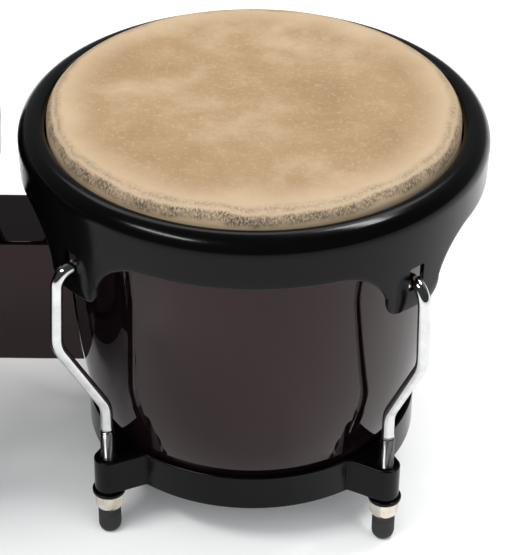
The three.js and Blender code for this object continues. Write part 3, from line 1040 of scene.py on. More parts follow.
@dataclass
class Shell:
    """Tapered wooden shell with a rounded bearing edge."""

    place: DrumPlace
    wall: float = 8.0
    bearing: float = 4.8
    foot_edge: float = 0.8
    rings: int = 56

    def radius_at(self, z: float) -> float:
        """Outer radius at a height, from the frame's own rings."""
        heights, radii = self.outer
        return float(np.interp(z, heights, radii))

    def __post_init__(self) -> None:
        """Fits a smooth curve through the rings of the frame's mesh."""
        heights, radii = wall_profile(f"{self.place.name}_shell", self.place.x, True)
        shell_top, hoop_top = self.place.shell_top, self.place.hoop_top
        below_edge = heights <= shell_top - self.bearing + 0.1
        straight, levels = radii[below_edge], heights[below_edge]
        top, bottom = self.place.shell_radius, float(straight[0])
        share = (top - straight) / (top - bottom)
        depth = np.clip((shell_top - levels) / (shell_top - hoop_top), 0, 1)
        # A straight cone plus a late turn inwards: the shares and the power that fit the rings best.
        tries = [(cone, power) for cone in np.linspace(0.5, 1.0, 51) for power in range(2, 17)]
        cone, power = min(
            tries, key=lambda t: np.abs(t[0] * depth + (1 - t[0]) * depth ** t[1] - share).max()
        )
        fine = np.linspace(self.place.shell_bottom, shell_top, 160)
        fine_depth = np.clip((shell_top - fine) / (shell_top - hoop_top), 0, 1)
        fall = cone * fine_depth + (1 - cone) * fine_depth**power
        self.outer = fine, top - (top - bottom) * fall

    def build(self) -> bpy.types.Object:
        """Builds the shell as one closed wall, with its inner faces marked for bare wood.

        Returns:
            The object.
        """
        top, bottom = self.place.shell_top, self.place.shell_bottom
        levels = np.linspace(top - self.bearing, bottom + self.foot_edge, self.rings)
        outside = [(self.radius_at(z), float(z)) for z in levels]
        outline = arc((self.place.shell_radius - self.bearing, top - self.bearing), self.bearing, 90, 0, 8)
        outline += outside[1:]
        low = self.radius_at(bottom)
        outline += arc((low - self.foot_edge, bottom + self.foot_edge), self.foot_edge, 0, -90, 4)[1:]
        edge = low - self.wall + self.foot_edge
        outline += arc((edge, bottom + self.foot_edge), self.foot_edge, -90, -180, 4)
        outline += [(r - self.wall, z) for r, z in reversed(outside[1:-1])]
        outline.append((self.place.shell_radius - self.wall, top - 2.5))
        outline.append((self.place.shell_radius - 6.6, top - 0.7))
        piece = revolve(f"{self.place.name}_stave_shell", outline, 256)
        for polygon in piece.data.polygons:
            outward = math.hypot(polygon.center.x, polygon.center.y) / MM
            polygon.material_index = int(outward < self.radius_at(polygon.center.z / MM) - 0.6 * self.wall)
        return self.place.stand(piece)


@dataclass
class Head:
    """Rawhide head, rounded over the shell and tucked around the flesh hoop."""

    place: DrumPlace
    skin: float = 0.8
    shoulder: float = 5.9
    bar: float = 3.2
    tuck_gap: float = 0.3
    unevenness: float = 0.14
    wave_mm: float = 17
    ripple_mm: float = 6

    def build(self) -> bpy.types.Object:
        """Builds the skin with a slightly uneven shoulder.

        Returns:
            The object.
        """
        place = self.place
        radius, top = place.head_radius, place.top
        outer_bend = arc((radius - self.shoulder, top - self.shoulder), self.shoulder, 90, 0, 14)
        inner_bend = arc((radius - self.shoulder, top - self.shoulder), self.shoulder - self.skin, 0, 90, 14)
        hoop = (radius + self.tuck_gap + self.bar, place.flesh_z)
        tuck_inner = arc(hoop, self.bar + self.tuck_gap / 2, 180, 345, 14)
        tuck_outer = arc(hoop, self.bar + self.tuck_gap / 2 + self.skin, 345, 180, 14)
        spokes = [radius * share for share in (0.0, 0.15, 0.35, 0.55, 0.7, 0.82, 0.9)]
        outline = [(r, top) for r in spokes] + outer_bend + tuck_inner + tuck_outer
        outline += inner_bend + [(r, top - self.skin) for r in reversed(spokes)]
        piece = revolve(f"{place.name}_rawhide_head", outline, 320, 60.0)
        for vertex in piece.data.vertices:
            reach = math.hypot(vertex.co.x, vertex.co.y) / MM
            if reach < 0.8 * radius:
                continue
            spot = Vector(vertex.co)
            wave = noise.noise(spot / (self.wave_mm * MM)) + 0.5 * noise.noise(spot / (self.ripple_mm * MM))
            share = min(1.0, (reach - 0.8 * radius) / (0.12 * radius))
            vertex.co.z -= max(0.0, wave + 0.3) * self.unevenness * MM * share
        return place.stand(piece)


@dataclass
class Rim:
    """Pressed steel rim: a rolled top edge, a skirt, and an ear with a slot at each lug."""

    place: DrumPlace
    sheet: float = 2.2
    roll: float = 8.0
    curl: float = 3.4
    lean: float = 0.03
    ear_depth: float = 25.0
    ear_half_width: float = 14.4
    ear_corner: float = 7.2
    ear_step: float = 0.8
    ear_flank: float = 24.0
    flank_reach: float = 22.0
    slot_width: float = 8.0
    slot_height: float = 11.0
    slot_corner: float = 1.0

    def hang(self, distance: float) -> float:
        """How far the skirt hangs below its plain edge, at a distance from an ear's middle."""
        flat = self.ear_half_width - self.ear_corner
        if distance <= flat:
            return self.ear_depth
        if distance <= self.ear_half_width:
            run = distance - flat
            return self.ear_depth - self.ear_corner + math.sqrt(max(0.0, self.ear_corner**2 - run**2))
        reach = self.flank_reach + self.ear_half_width + self.ear_step - distance
        if reach <= 0:
            return 0.0
        flank = self.ear_flank - math.sqrt(self.ear_flank**2 - min(reach, self.flank_reach) ** 2)
        return flank if distance > self.ear_half_width + self.ear_step else flank + 1.0

    def columns(self) -> list[tuple[float, float]]:
        """Angle of each column around the rim, and how far the skirt hangs there.

        Returns:
            Pairs of an angle in radians and a hang in millimetres.
        """
        flat = self.ear_half_width - self.ear_corner
        bends = [flat + self.ear_corner * math.sin(math.radians(a)) for a in range(0, 91, 9)]
        step = self.ear_half_width
        flank = step + self.ear_step
        half = list(np.linspace(0, flat, 7)) + bends[1:]
        half += [step + 0.06, step + 0.5 * self.ear_step, flank + 0.02]
        half += [flank + self.flank_reach * t for t in np.linspace(0, 1, 18)[1:] ** 1.3]
        around = self.place.rim_radius
        plain = np.linspace(half[-1] / around, math.pi / LUGS, 16)[1:]
        spread = [(s / around, self.hang(s)) for s in half] + [(float(a), 0.0) for a in plain]
        mirrored = [(-a, h) for a, h in reversed(spread[1:-1])]
        return [(middle + a, h) for middle in self.place.ear_angles for a, h in mirrored + spread]

    def section(self, hang: float) -> list[Point]:
        """The sheet's section at one column, as a closed outline.

        Args:
            hang: How far the skirt hangs below its plain edge there.

        Returns:
            Points of (radius, height).
        """
        place = self.place
        centre = (place.rim_radius - self.roll, place.rim_top - self.roll)
        curl = (centre[0], place.rim_top - self.curl)
        half = self.sheet / 2
        lip = place.flesh_z + 3.5 + half
        edge = place.rim_bottom + self.ear_depth - hang + half
        levels = np.linspace(centre[1], edge, 9)
        skirt = [(place.rim_radius - self.lean * max(0.0, centre[1] - z), z) for z in levels]
        out, low = skirt[-1]
        points = arc(curl, self.curl, 180, 90, 12) + arc(centre, self.roll, 90, 0, 18)[1:] + skirt[1:]
        points += arc((out - half, low), half, 0, -180, 6)[1:]
        points += [(r - self.sheet, z) for r, z in reversed(skirt[1:-1])]
        points += arc(centre, self.roll - self.sheet, 0, 90, 9)
        points += arc(curl, self.curl - self.sheet, 90, 180, 5)[1:]
        points += arc((curl[0] - self.curl + half, lip), half, 0, -180, 6)
        return points

    def slot(self, angle: float) -> bpy.types.Object:
        """Builds the solid that cuts one slot.

        Args:
            angle: The lug's angle in radians.

        Returns:
            The cutting object.
        """
        low, high = self.slot_range()
        half = self.slot_width / 2
        corners = [(-half, low), (half, low), (half, high), (-half, high)]
        outline = rounded(corners, self.slot_corner, 5)
        reach = (self.place.rim_radius - 9.0, self.place.rim_radius + 3.0)
        points = [(r, y, z) for r in reach for y, z in outline]
        count = len(outline)
        faces: list[tuple[int, ...]] = [tuple(range(count)), tuple(range(2 * count - 1, count - 1, -1))]
        faces += grid_faces(2, count, False, True)
        cutter = make_object("slot_cutter", points, faces)
        cutter.matrix_world = Matrix.Rotation(angle, 4, "Z")
        return cutter

    def slot_range(self) -> Point:
        """Lowest and highest point of a slot, from the hooks that rest in it."""
        hook_top = box_mm(f"{self.place.name}_tuning_rod_1")[1][2]
        low = float(hook_top) - 2 * TuningRod.shank - 0.8
        return low, low + self.slot_height

    def build(self) -> bpy.types.Object:
        """Builds the rim and cuts its slots.

        Returns:
            The object.
        """
        points = []
        columns = self.columns()
        for angle, hang in columns:
            points += [(r * math.cos(angle), r * math.sin(angle), z) for r, z in self.section(hang)]
        count = len(points) // len(columns)
        faces = grid_faces(len(columns), count, True, True)
        piece = make_object(f"{self.place.name}_pressed_rim", points, faces)
        for angle in self.place.ear_angles:
            combine(piece, self.slot(angle), "DIFFERENCE")
        piece.data.shade_smooth()
        piece.data.set_sharp_from_angle(angle=math.radians(35))
        return self.place.stand(piece)


@dataclass
class BottomHoop:
    """Steel band with a welded boss at each rod and a ledge that the shell stands on."""

    place: DrumPlace
    wall: float = 2.2
    ledge: float = 8.5
    ledge_thick: float = 2.2
    boss: float = 6.1
    plate_spread: float = 10.5
    rod_hole: float = 3.45
    edge: float = 0.7
    bead: float = 0.55

    @property
    def ring(self) -> float:
        """Outer radius of the band."""
        return self.place.rod_circle - 11.8

    @property
    def seam(self) -> float:
        """Angle from a lug's middle to where its plates meet the band, in radians."""
        return math.asin(self.plate_spread / self.ring)

    def outline(self) -> list[Point]:
        """The band's outer outline with its bosses, counter-clockwise.

        Returns:
            The outline's points.
        """
        circle, seam = self.place.rod_circle, self.seam
        from_boss = (self.ring * math.cos(seam) - circle, self.plate_spread)
        touch = math.atan2(from_boss[1], from_boss[0]) - math.acos(self.boss / math.hypot(*from_boss))
        on_boss, on_ring = math.degrees(touch), math.degrees(seam)
        start = np.array(arc((circle, 0), self.boss, on_boss, on_boss, 1)[0])
        end = np.array(arc((0, 0), self.ring, on_ring, on_ring, 1)[0])
        plate = [tuple(start + (end - start) * t) for t in np.linspace(0, 1, 8)[1:-1]]
        lobe = [(x, -y) for x, y in reversed(plate)]
        lobe += arc((circle, 0), self.boss, -on_boss, on_boss, 28) + plate
        lobe += arc((0, 0), self.ring, on_ring, 90 - on_ring, 40)
        points = []
        for angle in self.place.lug_angles:
            c, s = math.cos(angle), math.sin(angle)
            points += [(c * px - s * py, s * px + c * py) for px, py in lobe]
        return points

    def weld_beads(self) -> list[bpy.types.Object]:
        """Small upright beads where each boss's plate meets the band.

        Returns:
            One object for each bead.
        """
        low, high = self.place.hoop_bottom + 0.4, self.place.hoop_top - 0.4
        beads = []
        for angle in self.place.lug_angles:
            for side in (-1, 1):
                turn = angle + side * self.seam
                outline = rounded([(0, low), (self.bead, low), (self.bead, high), (0, high)], 0.4, 3)
                bead = revolve("weld_bead", outline, 12)
                reach = (self.ring - 0.12) * MM
                bead.location = (reach * math.cos(turn), reach * math.sin(turn), 0)
                beads.append(bead)
        return beads

    def build(self) -> bpy.types.Object:
        """Builds the hoop.

        Returns:
            The object.
        """
        place = self.place
        inner = self.ring - self.wall
        loops = [self.outline(), arc((0, 0), inner, 360, 0, 192)[:-1]]
        for angle in place.lug_angles:
            centre = (place.rod_circle * math.cos(angle), place.rod_circle * math.sin(angle))
            loops.append(arc(centre, self.rod_hole, 360, 0, 32)[:-1])
        piece = extrude_loops(f"{place.name}_lug_hoop", loops, place.hoop_bottom, place.hoop_top, self.edge)
        low, high = place.hoop_bottom, place.hoop_bottom + self.ledge_thick
        near, far = inner - self.ledge, inner + 0.4
        ledge_corners = [(near, low), (far, low), (far, high), (near, high)]
        ledge = revolve("ledge", rounded(ledge_corners, 0.5, 3), 192)
        join_meshes(piece, [ledge, *self.weld_beads()])
        weigh_normals(piece)
        return place.stand(piece)


@dataclass
class TuningRod:
    """Chromed rod with a jog, a hook at the top and a rolled thread at the bottom."""

    place: DrumPlace
    shank: float = 2.625
    crest: float = 3.175
    root: float = 2.2
    pitch: float = 1.27
    thread_above: float = THREAD_ABOVE
    thread_below: float = 9.0
    jog: float = 20.6
    bow: float = 1.2
    jog_low: float = 67.0
    jog_high: float = 106.0
    jog_bend: float = 15.0
    hook_tip: float = 5.0
    around: int = 28

    def centreline(self) -> np.ndarray:
        """Points of the rod's centreline in its own plane, from the threaded end to the hook.

        Returns:
            Rows of (outward, up), in millimetres.
        """
        low, high = box_mm(f"{self.place.name}_tuning_rod_1")
        bottom, hook_top = float(low[2]), float(high[2]) - self.shank
        thread_start = self.place.hoop_top - self.thread_below
        thread_end = self.place.hoop_top + self.thread_above
        rows = int((thread_end - thread_start) / self.pitch * 9)
        points = [(0.0, bottom), (0.0, bottom + 0.6), (0.0, thread_start - 0.2)]
        points += [(0.0, float(z)) for z in np.linspace(thread_start, thread_end, rows)]
        bend = self.jog - self.place.hook_reach
        high = self.jog + self.bow
        slope = math.atan2(high, self.jog_high - self.jog_low)
        lean = math.atan2(self.bow, hook_top - bend - self.jog_high)
        lead = self.jog_bend * math.tan(slope / 2)
        turn = -math.degrees(slope)
        points += arc((self.jog_bend, self.jog_low - lead), self.jog_bend, 180, 180 + turn, 12)
        lead = self.jog_bend * math.tan((slope + lean) / 2)
        centre_x = high - lead * math.sin(slope) - self.jog_bend * math.cos(slope)
        centre_z = self.jog_high - lead * math.cos(slope) + self.jog_bend * math.sin(slope)
        points += arc((centre_x, centre_z), self.jog_bend, turn, math.degrees(lean), 12)
        points += arc((self.jog - bend, hook_top - bend), bend, 0, 180, 32)
        tip = (self.jog - 2 * bend, hook_top - bend - self.hook_tip)
        points += [(tip[0], tip[1] + 0.8), (tip[0], tip[1] + 0.25), tip]
        return np.array(points)

    def thread_depth(self, z: float, turn: float) -> float:
        """Radius of the threaded part at a height and an angle, for a right-hand thread."""
        phase = (z / self.pitch - turn / (2 * math.pi)) % 1.0
        flank = min(1.0, max(0.0, 1.35 * (1 - abs(2 * phase - 1)) - 0.12))
        return self.root + (self.crest - self.root) * flank

    def radius_at(self, row: int, line: np.ndarray, turn: float) -> float:
        """Radius of the rod's surface at one point of its skin.

        Args:
            row: Number of the centreline's point.
            line: The centreline.
            turn: Angle around the rod, in radians.

        Returns:
            The radius in millimetres.
        """
        outward, z = line[row]
        start = self.place.hoop_top - self.thread_below
        end = self.place.hoop_top + self.thread_above
        if outward != 0.0 or z > end + 0.01:
            last = len(line) - 1
            return self.shank * {last: 0.55, last - 1: 0.88, last - 2: 1.0}.get(row, 1.0)
        if z < start:
            return self.crest * (0.8 if row == 0 else 0.93)
        fade = min(1.0, max(0.0, (end - z) / (1.5 * self.pitch)))
        return self.shank + (self.thread_depth(z, turn) - self.shank) * fade

    def build(self, number: int) -> bpy.types.Object:
        """Builds one rod.

        Args:
            number: The lug's number.

        Returns:
            The object.
        """
        line = self.centreline()
        ahead = np.gradient(line, axis=0)
        ahead[1:-1] = line[2:] - line[:-2]
        ahead /= np.linalg.norm(ahead, axis=1)[:, None]
        turns = np.linspace(0, 2 * math.pi, self.around, endpoint=False)
        points = []
        for row, ((outward, z), (dx, dz)) in enumerate(zip(line, ahead)):
            for turn in turns:
                radius = self.radius_at(row, line, turn)
                across, side = radius * math.cos(turn), radius * math.sin(turn)
                points.append((outward + across * dz, side, z - across * dx))
        faces: list[tuple[int, ...]] = grid_faces(len(line), self.around, False, True)
        last = (len(line) - 1) * self.around
        faces += [tuple(range(self.around)), tuple(last + k for k in range(self.around))]
        piece = make_object(f"{self.place.name}_hooked_rod_{number}", points, faces, 50.0)
        return self.place.stand_at_lug(piece, number, self.place.rod_yaw)


@dataclass
class LugHardware:
    """Washer, nut and rubber foot under one boss."""

    place: DrumPlace
    hole: float = 3.3
    washer_radius: float = 7.2
    washer_edge: float = 0.45
    across_flats: float = 11.4
    foot_radius: float = 4.95
    foot_sole: float = 1.8
    foot_lip: float = 0.35

    def washer(self, number: int) -> bpy.types.Object:
        """Builds the washer, a flat ring with rounded edges."""
        node = f"{self.place.name}_washer_{number}"
        low, high = box_mm(node)
        radius = self.washer_radius
        corners = [(self.hole, low[2]), (radius, low[2]), (radius, high[2]), (self.hole, high[2])]
        piece = revolve(f"{self.place.name}_cup_washer_{number}", rounded(corners, self.washer_edge, 4), 64)
        return self.place.stand_at_lug(piece, number)

    def nut(self, number: int) -> bpy.types.Object:
        """Builds the hexagonal nut, with a wide chamfer below and a small one above."""
        low, high = box_mm(f"{self.place.name}_tuning_nut_{number}")
        bottom, top = float(low[2]), float(high[2])
        corner = self.across_flats / math.sqrt(3)
        hexagon = rounded(arc((0, 0), corner, 0, 300, 5), 0.35, 3)
        hole = arc((0, 0), self.hole, 360, 0, 32)[:-1]
        piece = extrude_loops(f"{self.place.name}_hex_nut_{number}", [hexagon, hole], bottom, top, 0.12, 2)
        chamfer = [
            (0.0, bottom - 1),
            (corner - 2.0, bottom - 1),
            (corner - 1.35, bottom),
            (corner + 0.15, bottom + 2.4),
            (corner + 0.15, top - 0.35),
            (corner - 0.45, top),
            (corner - 0.45, top + 1),
            (0.0, top + 1),
        ]
        combine(piece, revolve("chamfer", chamfer, 96), "INTERSECT")
        piece.data.shade_smooth()
        piece.data.set_sharp_from_angle(angle=math.radians(22))
        return self.place.stand_at_lug(piece, number)

    def foot(self, number: int) -> bpy.types.Object:
        """Builds the moulded rubber foot, a thick-walled cap with a round sole."""
        high = box_mm(f"{self.place.name}_foot_{number}")[1]
        top, radius, sole = float(high[2]), self.foot_radius, self.foot_sole
        outline: list[Point] = [(0.0, 0.0), (sole, 0.0)]
        turns = np.linspace(0.1, math.pi / 2, 14)
        outline += [(sole + 3.15 * math.sin(a), 4.2 * (1 - math.cos(a))) for a in turns]
        # A fine parting groove runs round the foot below its lip.
        outline += [(radius, top - 2.3), (radius - 0.12, top - 2.15)]
        outline += [(radius - 0.12, top - 1.9), (radius, top - 1.75)]
        outline += arc((radius - self.foot_lip, top - self.foot_lip), self.foot_lip, 0, 90, 4)
        outline += [(3.5, top), (3.4, top - 0.2), (3.4, 4.4), (0.0, 4.4)]
        piece = revolve(f"{self.place.name}_rubber_foot_{number}", outline, 64)
        return self.place.stand_at_lug(piece, number)


# ---- the block between the drums ----------------------------------------------------------------


@dataclass
class CentreBlock:
    """Lacquered block with ends that fit the two shells."""

    macho: Shell
    hembra: Shell
    gap: float = 0.3
    edge: float = 1.6
    rows: int = 8
    rings: int = 5

    def end_x(self, shell: Shell, y: float, z: float) -> float:
        """Where the block's end lies, against a shell, at one point of its section."""
        side = 1 if shell.place.x < 0 else -1
        reach = shell.radius_at(z) + self.gap
        return shell.place.x + side * math.sqrt(reach**2 - y**2)

    def build(self) -> bpy.types.Object:
        """Builds the block.

        Returns:
            The object.
        """
        low, high = box_mm("center_block")
        half, bottom, top = float(high[1]), float(low[2]), float(high[2])
        corners = [(-half, bottom), (half, bottom), (half, top), (-half, top)]
        outline = []
        smooth = rounded(corners, self.edge, 5)
        for here, after in zip(smooth, smooth[1:] + smooth[:1]):
            steps = max(1, int(math.dist(here, after) / 4))
            outline += [tuple(np.array(here) + (np.array(after) - here) * k / steps) for k in range(steps)]
        middle = np.array([0.0, (bottom + top) / 2])
        layers = [(t, 0.0) for t in np.linspace(0, 1, self.rings + 1)]
        layers += [(1.0, a) for a in np.linspace(0, 1, self.rows + 1)[1:]]
        layers += [(t, 1.0) for t in np.linspace(1, 0, self.rings + 1)[1:]]
        points = []
        for share, along in layers:
            for corner in outline:
                y, z = middle + (np.array(corner) - middle) * share
                start, end = self.end_x(self.hembra, y, z), self.end_x(self.macho, y, z)
                points.append((start + (end - start) * along, y, z))
        piece = make_object("lacquered_block", points, grid_faces(len(layers), len(outline), False, True))
        bevel = piece.modifiers.new("eased_edges", "BEVEL")
        bevel.width, bevel.segments, bevel.limit_method = 0.25 * MM, 2, "ANGLE"
        bevel.angle_limit = math.radians(40)
        return weigh_normals(piece)


@dataclass
class BlockFixings:
    """Bolts through the block and both shells, with their nuts and curved backing plates."""

    macho: Shell
    hembra: Shell
    plate_thick: float = 2.5
    plate_gap: float = 0.3

    def plate(self, shell: Shell) -> bpy.types.Object:
        """Builds a backing plate that follows the inside of a shell.

        Args:
            shell: The shell that it lies in.

        Returns:
            The object.
        """
        name = shell.place.name
        low, high = box_mm(f"{name}_backing_plate")
        half, bottom, top = float(high[1]), float(low[2]), float(high[2])
        outline = rounded([(-half, bottom), (half, bottom), (half, top), (-half, top)], 4.0, 5)
        middle = np.array([0.0, (bottom + top) / 2])
        side = 1 if shell.place.x < 0 else -1
        layers = [(t, 0.0) for t in np.linspace(0, 1, 7)] + [(t, 1.0) for t in np.linspace(1, 0, 7)]
        points = []
        for share, depth in layers:
            for corner in outline:
                y, z = middle + (np.array(corner) - middle) * share
                reach = shell.radius_at(z) - shell.wall - self.plate_gap - depth * self.plate_thick
                points.append((shell.place.x + side * math.sqrt(reach**2 - y**2), y, z))
        faces = grid_faces(len(layers), len(outline), False, True)
        piece = make_object(f"{name}_curved_plate", points, faces)
        bevel = piece.modifiers.new("eased_edges", "BEVEL")
        bevel.width, bevel.segments, bevel.limit_method = 0.4 * MM, 2, "ANGLE"
        return weigh_normals(piece)

    def hexagon(
        self, name: str, corner: float, start: float, end: float, height: float, chamfer: bool
    ) -> bpy.types.Object:
        """Builds a hexagon along X, chamfered at one end.

        Args:
            name: Name for the object.
            corner: Distance from the axis to the hexagon's corners.
            start: Lowest X.
            end: Highest X.
            height: Height of the axis.
            chamfer: Whether the chamfer is at the highest X.

        Returns:
            The object, built upright and then laid along X.
        """
        piece = extrude_loops(name, [arc((0, 0), corner, 0, 300, 5)], 0.0, end - start, 0.2, 2)
        depth = end - start
        wide = corner + 0.1
        cone = [(0.0, -1.0), (wide, -1.0), (wide, depth - 1.1), (corner - 1.3, depth), (0.0, depth)]
        combine(piece, revolve("cone", cone, 64), "INTERSECT")
        if not chamfer:
            piece.data.transform(Matrix.Translation((0, 0, depth * MM)) @ Matrix.Rotation(math.pi, 4, "X"))
        piece.data.transform(Matrix.Rotation(math.pi / 2, 4, "Y"))
        piece.data.transform(Matrix.Translation((start * MM, 0, height * MM)))
        piece.data.set_sharp_from_angle(angle=math.radians(22))
        return piece

    def bolt(self, level: str) -> bpy.types.Object:
        """Builds one bolt, with its head in the large drum.

        Args:
            level: "lower" or "upper".

        Returns:
            The object.
        """
        low, high = box_mm(f"block_bolt_{level}")
        height = float(low[2] + high[2]) / 2
        head = self.hexagon(f"through_bolt_{level}", 7.5, float(low[0]), float(low[0]) + 5.3, height, False)
        length = float(high[0] - low[0]) - 4.0
        shank = revolve("shank", rounded([(0, 0), (3.9, 0), (3.9, length), (0, length)], 0.7, 3), 40)
        shank.data.transform(Matrix.Rotation(math.pi / 2, 4, "Y"))
        shank.data.transform(Matrix.Translation(((float(low[0]) + 4.0) * MM, 0, height * MM)))
        return join_meshes(head, [shank])

    def nut(self, level: str) -> bpy.types.Object:
        """Builds one bolt's nut, in the small drum."""
        low, high = box_mm(f"block_bolt_nut_{level}")
        height = float(low[2] + high[2]) / 2
        return self.hexagon(f"through_bolt_nut_{level}", 7.5, float(low[0]), float(high[0]), height, True)


# ---- assembly -----------------------------------------------------------------------------------


@dataclass
class Bongos:
    """The pair of drums, the block and every fixing."""

    def __post_init__(self) -> None:
        """Reads the drums' places and makes the materials."""
        self.places = [DrumPlace("macho"), DrumPlace("hembra")]
        self.shells = {place.name: Shell(place) for place in self.places}
        self.materials = {
            # Tinted polyurethane lacquer over stained wood: deep and mirror-like.
            Finish.LACQUERED_WOOD: LacqueredWood().build("tinted_gloss_lacquer_on_wood"),
            # Thin sealer on the shell's inside: the wood's own colour, dull.
            Finish.SEALED_WOOD: LacqueredWood(
                base="#7A5A3C", dark="#5C412A", light="#94714C", specular=0.3, roughness=0.6
            ).build("sealed_bare_wood"),
            # Baked polyester powder on steel: black, semi-gloss, faint orange peel.
            Finish.POWDER_COAT: Enamel("#040404", 0.16).build("black_powder_coat_on_steel"),
            # Sprayed satin-black lacquer over wood.
            Finish.BLOCK_LACQUER: LacqueredWood(
                base="#0A0707", dark="#080505", light="#0C0909", specular=0.3, roughness=0.05
            ).build("black_lacquer_on_wood"),
            # Bright chromium over polished steel: a neutral mirror.
            Finish.CHROME: Metal(
                "#D2D2D2", "#C2C2C2", 0.05, 0.04, thread_top_mm=self.places[0].hoop_top + THREAD_ABOVE - 1.0
            ).build("bright_chrome_plate"),
            # Barrel-plated nickel: warm and slightly satin.
            Finish.NICKEL: Metal("#D6CDC1", "#BDB4A8", 0.22, 0.1).build("satin_nickel_plate"),
            # Compression-moulded rubber: black and matte.
            Finish.RUBBER: Rubber().build("moulded_black_rubber"),
            # Zinc plated mild steel: grey with a soft bloom.
            Finish.ZINC: Metal("#B4B4B0", "#8E8E8A", 0.32, 0.15).build("zinc_plated_steel"),
        }

    def build_drum(self, place: DrumPlace) -> None:
        """Builds and dresses one drum.

        Args:
            place: The drum's place.
        """
        name, made = place.name, self.materials
        moving = f"{name}_rim_and_rods"
        wood = [made[Finish.LACQUERED_WOOD], made[Finish.SEALED_WOOD]]
        dress(self.shells[name].build(), ROOT, wood, [f"{name}_shell"])
        skin = Rawhide(place.top * MM, place.head_radius * MM).build(f"scraped_rawhide_{name}")
        dress(Head(place).build(), ROOT, [skin], [f"{name}_head"])
        coat = [made[Finish.POWDER_COAT]]
        dress(Rim(place).build(), moving, coat, [f"{name}_rim"])
        dress(BottomHoop(place).build(), ROOT, coat, [f"{name}_bottom_hoop"])
        wire = arc((place.flesh_radius - 3.2, place.flesh_z), 3.1, 0, 345, 23)
        flesh = revolve(f"{name}_flesh_ring", wire, 192)
        dress(place.stand(flesh), ROOT, [made[Finish.ZINC]], [f"{name}_flesh_hoop"])
        rods, hardware = TuningRod(place), LugHardware(place)
        for number in range(1, LUGS + 1):
            turning = f"{name}_nut_{number}_turning"
            chrome, rubber = [made[Finish.CHROME]], [made[Finish.RUBBER]]
            dress(rods.build(number), moving, chrome, [f"{name}_tuning_rod_{number}"])
            dress(hardware.washer(number), ROOT, coat, [f"{name}_washer_{number}"])
            nickel = [made[Finish.NICKEL]]
            dress(hardware.nut(number), turning, nickel, [f"{name}_tuning_nut_{number}"])
            dress(hardware.foot(number), turning, rubber, [f"{name}_foot_{number}"])

    def build_block(self) -> None:
        """Builds and dresses the block and its fixings."""
        macho, hembra = self.shells["macho"], self.shells["hembra"]
        block = CentreBlock(macho, hembra).build()
        dress(block, ROOT, [self.materials[Finish.BLOCK_LACQUER]], ["center_block"])
        fixings, zinc = BlockFixings(macho, hembra), [self.materials[Finish.ZINC]]
        for shell in (macho, hembra):
            dress(fixings.plate(shell), ROOT, zinc, [f"{shell.place.name}_backing_plate"])
        for level in ("lower", "upper"):
            dress(fixings.bolt(level), ROOT, zinc, [f"block_bolt_{level}"])
            dress(fixings.nut(level), ROOT, zinc, [f"block_bolt_nut_{level}"])

    def build(self) -> None:
        """Builds everything."""
        for place in self.places:
            self.build_drum(place)
        self.build_block()


# ---- studio -------------------------------------------------------------------------------------


@dataclass(frozen=True)
class SoftBox:
    """A large, soft studio light aimed at the drums."""

    name: str
    azimuth: float
    elevation: float
    distance: float
    width: float
    height: float
    watts: float

    def place(self, target: Vector) -> None:
        """Adds the light.

        Args:
            target: The point that it is aimed at, in metres.
        """
        a, e = math.radians(self.azimuth), math.radians(self.elevation)
        away = Vector((math.cos(e) * math.cos(a), math.cos(e) * math.sin(a), math.sin(e)))
        data = bpy.data.lights.new(self.name, "AREA")
        data.shape, data.size, data.size_y, data.energy = "RECTANGLE", self.width, self.height, self.watts
        light = bpy.data.objects.new(self.name, data)
        light.location = target + away * self.distance
        light.rotation_euler = away.to_track_quat("Z", "Y").to_euler()
        light.visible_camera = False
        bpy.context.scene.collection.objects.link(light)


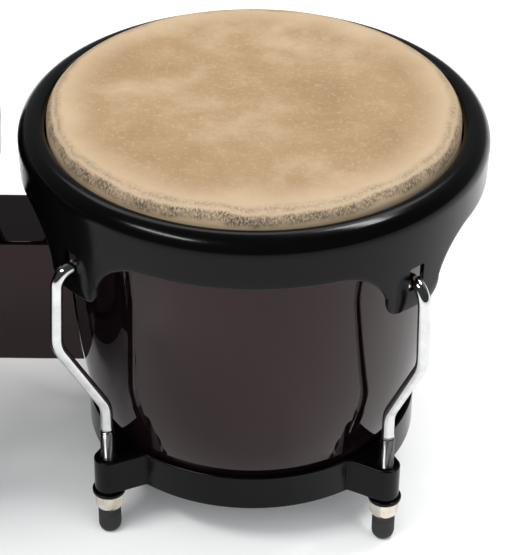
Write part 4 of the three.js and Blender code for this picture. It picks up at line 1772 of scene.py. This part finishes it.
@dataclass
class Studio:
    """Pale floor, soft lights and the camera."""

    floor_colour: str = "#F4F3F1"
    floor_size: float = 12.0
    back: float = 833.6
    above_head: float = 477.3
    pitch: float = 34.19
    roll: float = 0.61
    focal: float = 149.19
    shift: float = 0.0045
    room_front: float = 0.05
    room_back: float = 0.3
    fill_front: float = 1.8
    fill_back: float = 0.25

    def floor(self) -> None:
        """Adds the floor: matte painted board with a very faint tooth."""
        half = self.floor_size / 2 / MM
        corners = [(-half, -half, 0), (half, -half, 0), (half, half, 0), (-half, half, 0)]
        floor = make_object("studio_floor", corners, [(0, 1, 2, 3)])
        material, tree = new_material("matte_white_board")
        tooth = add_node(
            tree, "ShaderNodeTexNoise", inputs={"Vector": object_coordinates(tree), "Scale": 1 / (2 * MM)}
        )
        bump = add_node(
            tree,
            "ShaderNodeBump",
            inputs={"Strength": 0.05, "Distance": 0.05 * MM, "Height": tooth.outputs[0]},
        )
        close_material(
            tree,
            {
                "Base Color": linear(self.floor_colour),
                "Roughness": 0.9,
                "Specular IOR Level": 0.2,
                "Normal": bump.outputs[0],
            },
        )
        floor.data.materials.append(material)

    def camera(self, aim: DrumPlace) -> None:
        """Adds the camera, which looks at the small drum from its front.

        Args:
            aim: The drum in view.
        """
        data = bpy.data.cameras.new("camera")
        data.lens, data.sensor_width, data.shift_x = self.focal, 36.0, self.shift
        data.clip_end = 50.0
        camera = bpy.data.objects.new("camera", data)
        tilt = Matrix.Rotation(math.radians(90 - self.pitch), 4, "X")
        tilt = tilt @ Matrix.Rotation(math.radians(self.roll), 4, "Z")
        place = Matrix.Translation((aim.x * MM, -self.back * MM, (aim.top + self.above_head) * MM))
        camera.matrix_world = place @ tilt
        bpy.context.scene.collection.objects.link(camera)
        bpy.context.scene.camera = camera

    def world(self) -> None:
        """Adds a room that fills matte surfaces, and that mirrors see as dim, lighter at the back."""
        world = bpy.data.worlds.new("studio")
        bpy.context.scene.world = world
        world.use_nodes = True
        tree = world.node_tree
        tree.nodes.clear()
        way = add_node(tree, "ShaderNodeSeparateXYZ", inputs={0: object_direction(tree)})
        strength = add_node(
            tree,
            "ShaderNodeMapRange",
            {"interpolation_type": "SMOOTHSTEP"},
            {0: way.outputs[1], 1: -0.2, 2: 0.9, 3: self.room_front, 4: self.room_back},
        )
        # Matte surfaces are filled from all round, most of all from the front; mirrors see the room.
        path = add_node(tree, "ShaderNodeLightPath")
        fill = add_node(
            tree,
            "ShaderNodeMapRange",
            {"interpolation_type": "SMOOTHSTEP"},
            {0: way.outputs[1], 1: -0.7, 2: 0.5, 3: self.fill_front, 4: self.fill_back},
        )
        seen = add_node(
            tree,
            "ShaderNodeMapRange",
            inputs={
                0: path.outputs["Is Glossy Ray"],
                1: 0.0,
                2: 1.0,
                3: fill.outputs[0],
                4: strength.outputs[0],
            },
        )
        background = add_node(
            tree, "ShaderNodeBackground", inputs={"Color": linear("#F4F8FC"), "Strength": seen.outputs[0]}
        )
        add_node(tree, "ShaderNodeOutputWorld", inputs={"Surface": background.outputs[0]})

    def build(self, aim: DrumPlace) -> None:
        """Builds the studio around the drum in view.

        Args:
            aim: The drum in view.
        """
        self.camera(aim)
        self.floor()
        self.world()
        target = Vector((aim.x * MM, 0, 0.12))
        for light in (
            SoftBox("front_left_strip", -142, 52, 1.5, 0.6, 0.14, 9.5),
            SoftBox("back_right_strip", 38, 64, 1.5, 0.7, 0.15, 13.0),
            SoftBox("back_overhead_box", 90, 54, 1.6, 1.3, 0.45, 5.5),
        ):
            light.place(target)
        bpy.context.scene.view_settings.view_transform = "Standard"


def main() -> None:
    """Builds the drums and the studio."""
    logging.basicConfig(level=logging.INFO, format="%(name)s: %(message)s")
    bongos = Bongos()
    bongos.build()
    Studio().build(bongos.places[0])
    bpy.context.view_layer.update()


if __name__ == "__main__":
    main()
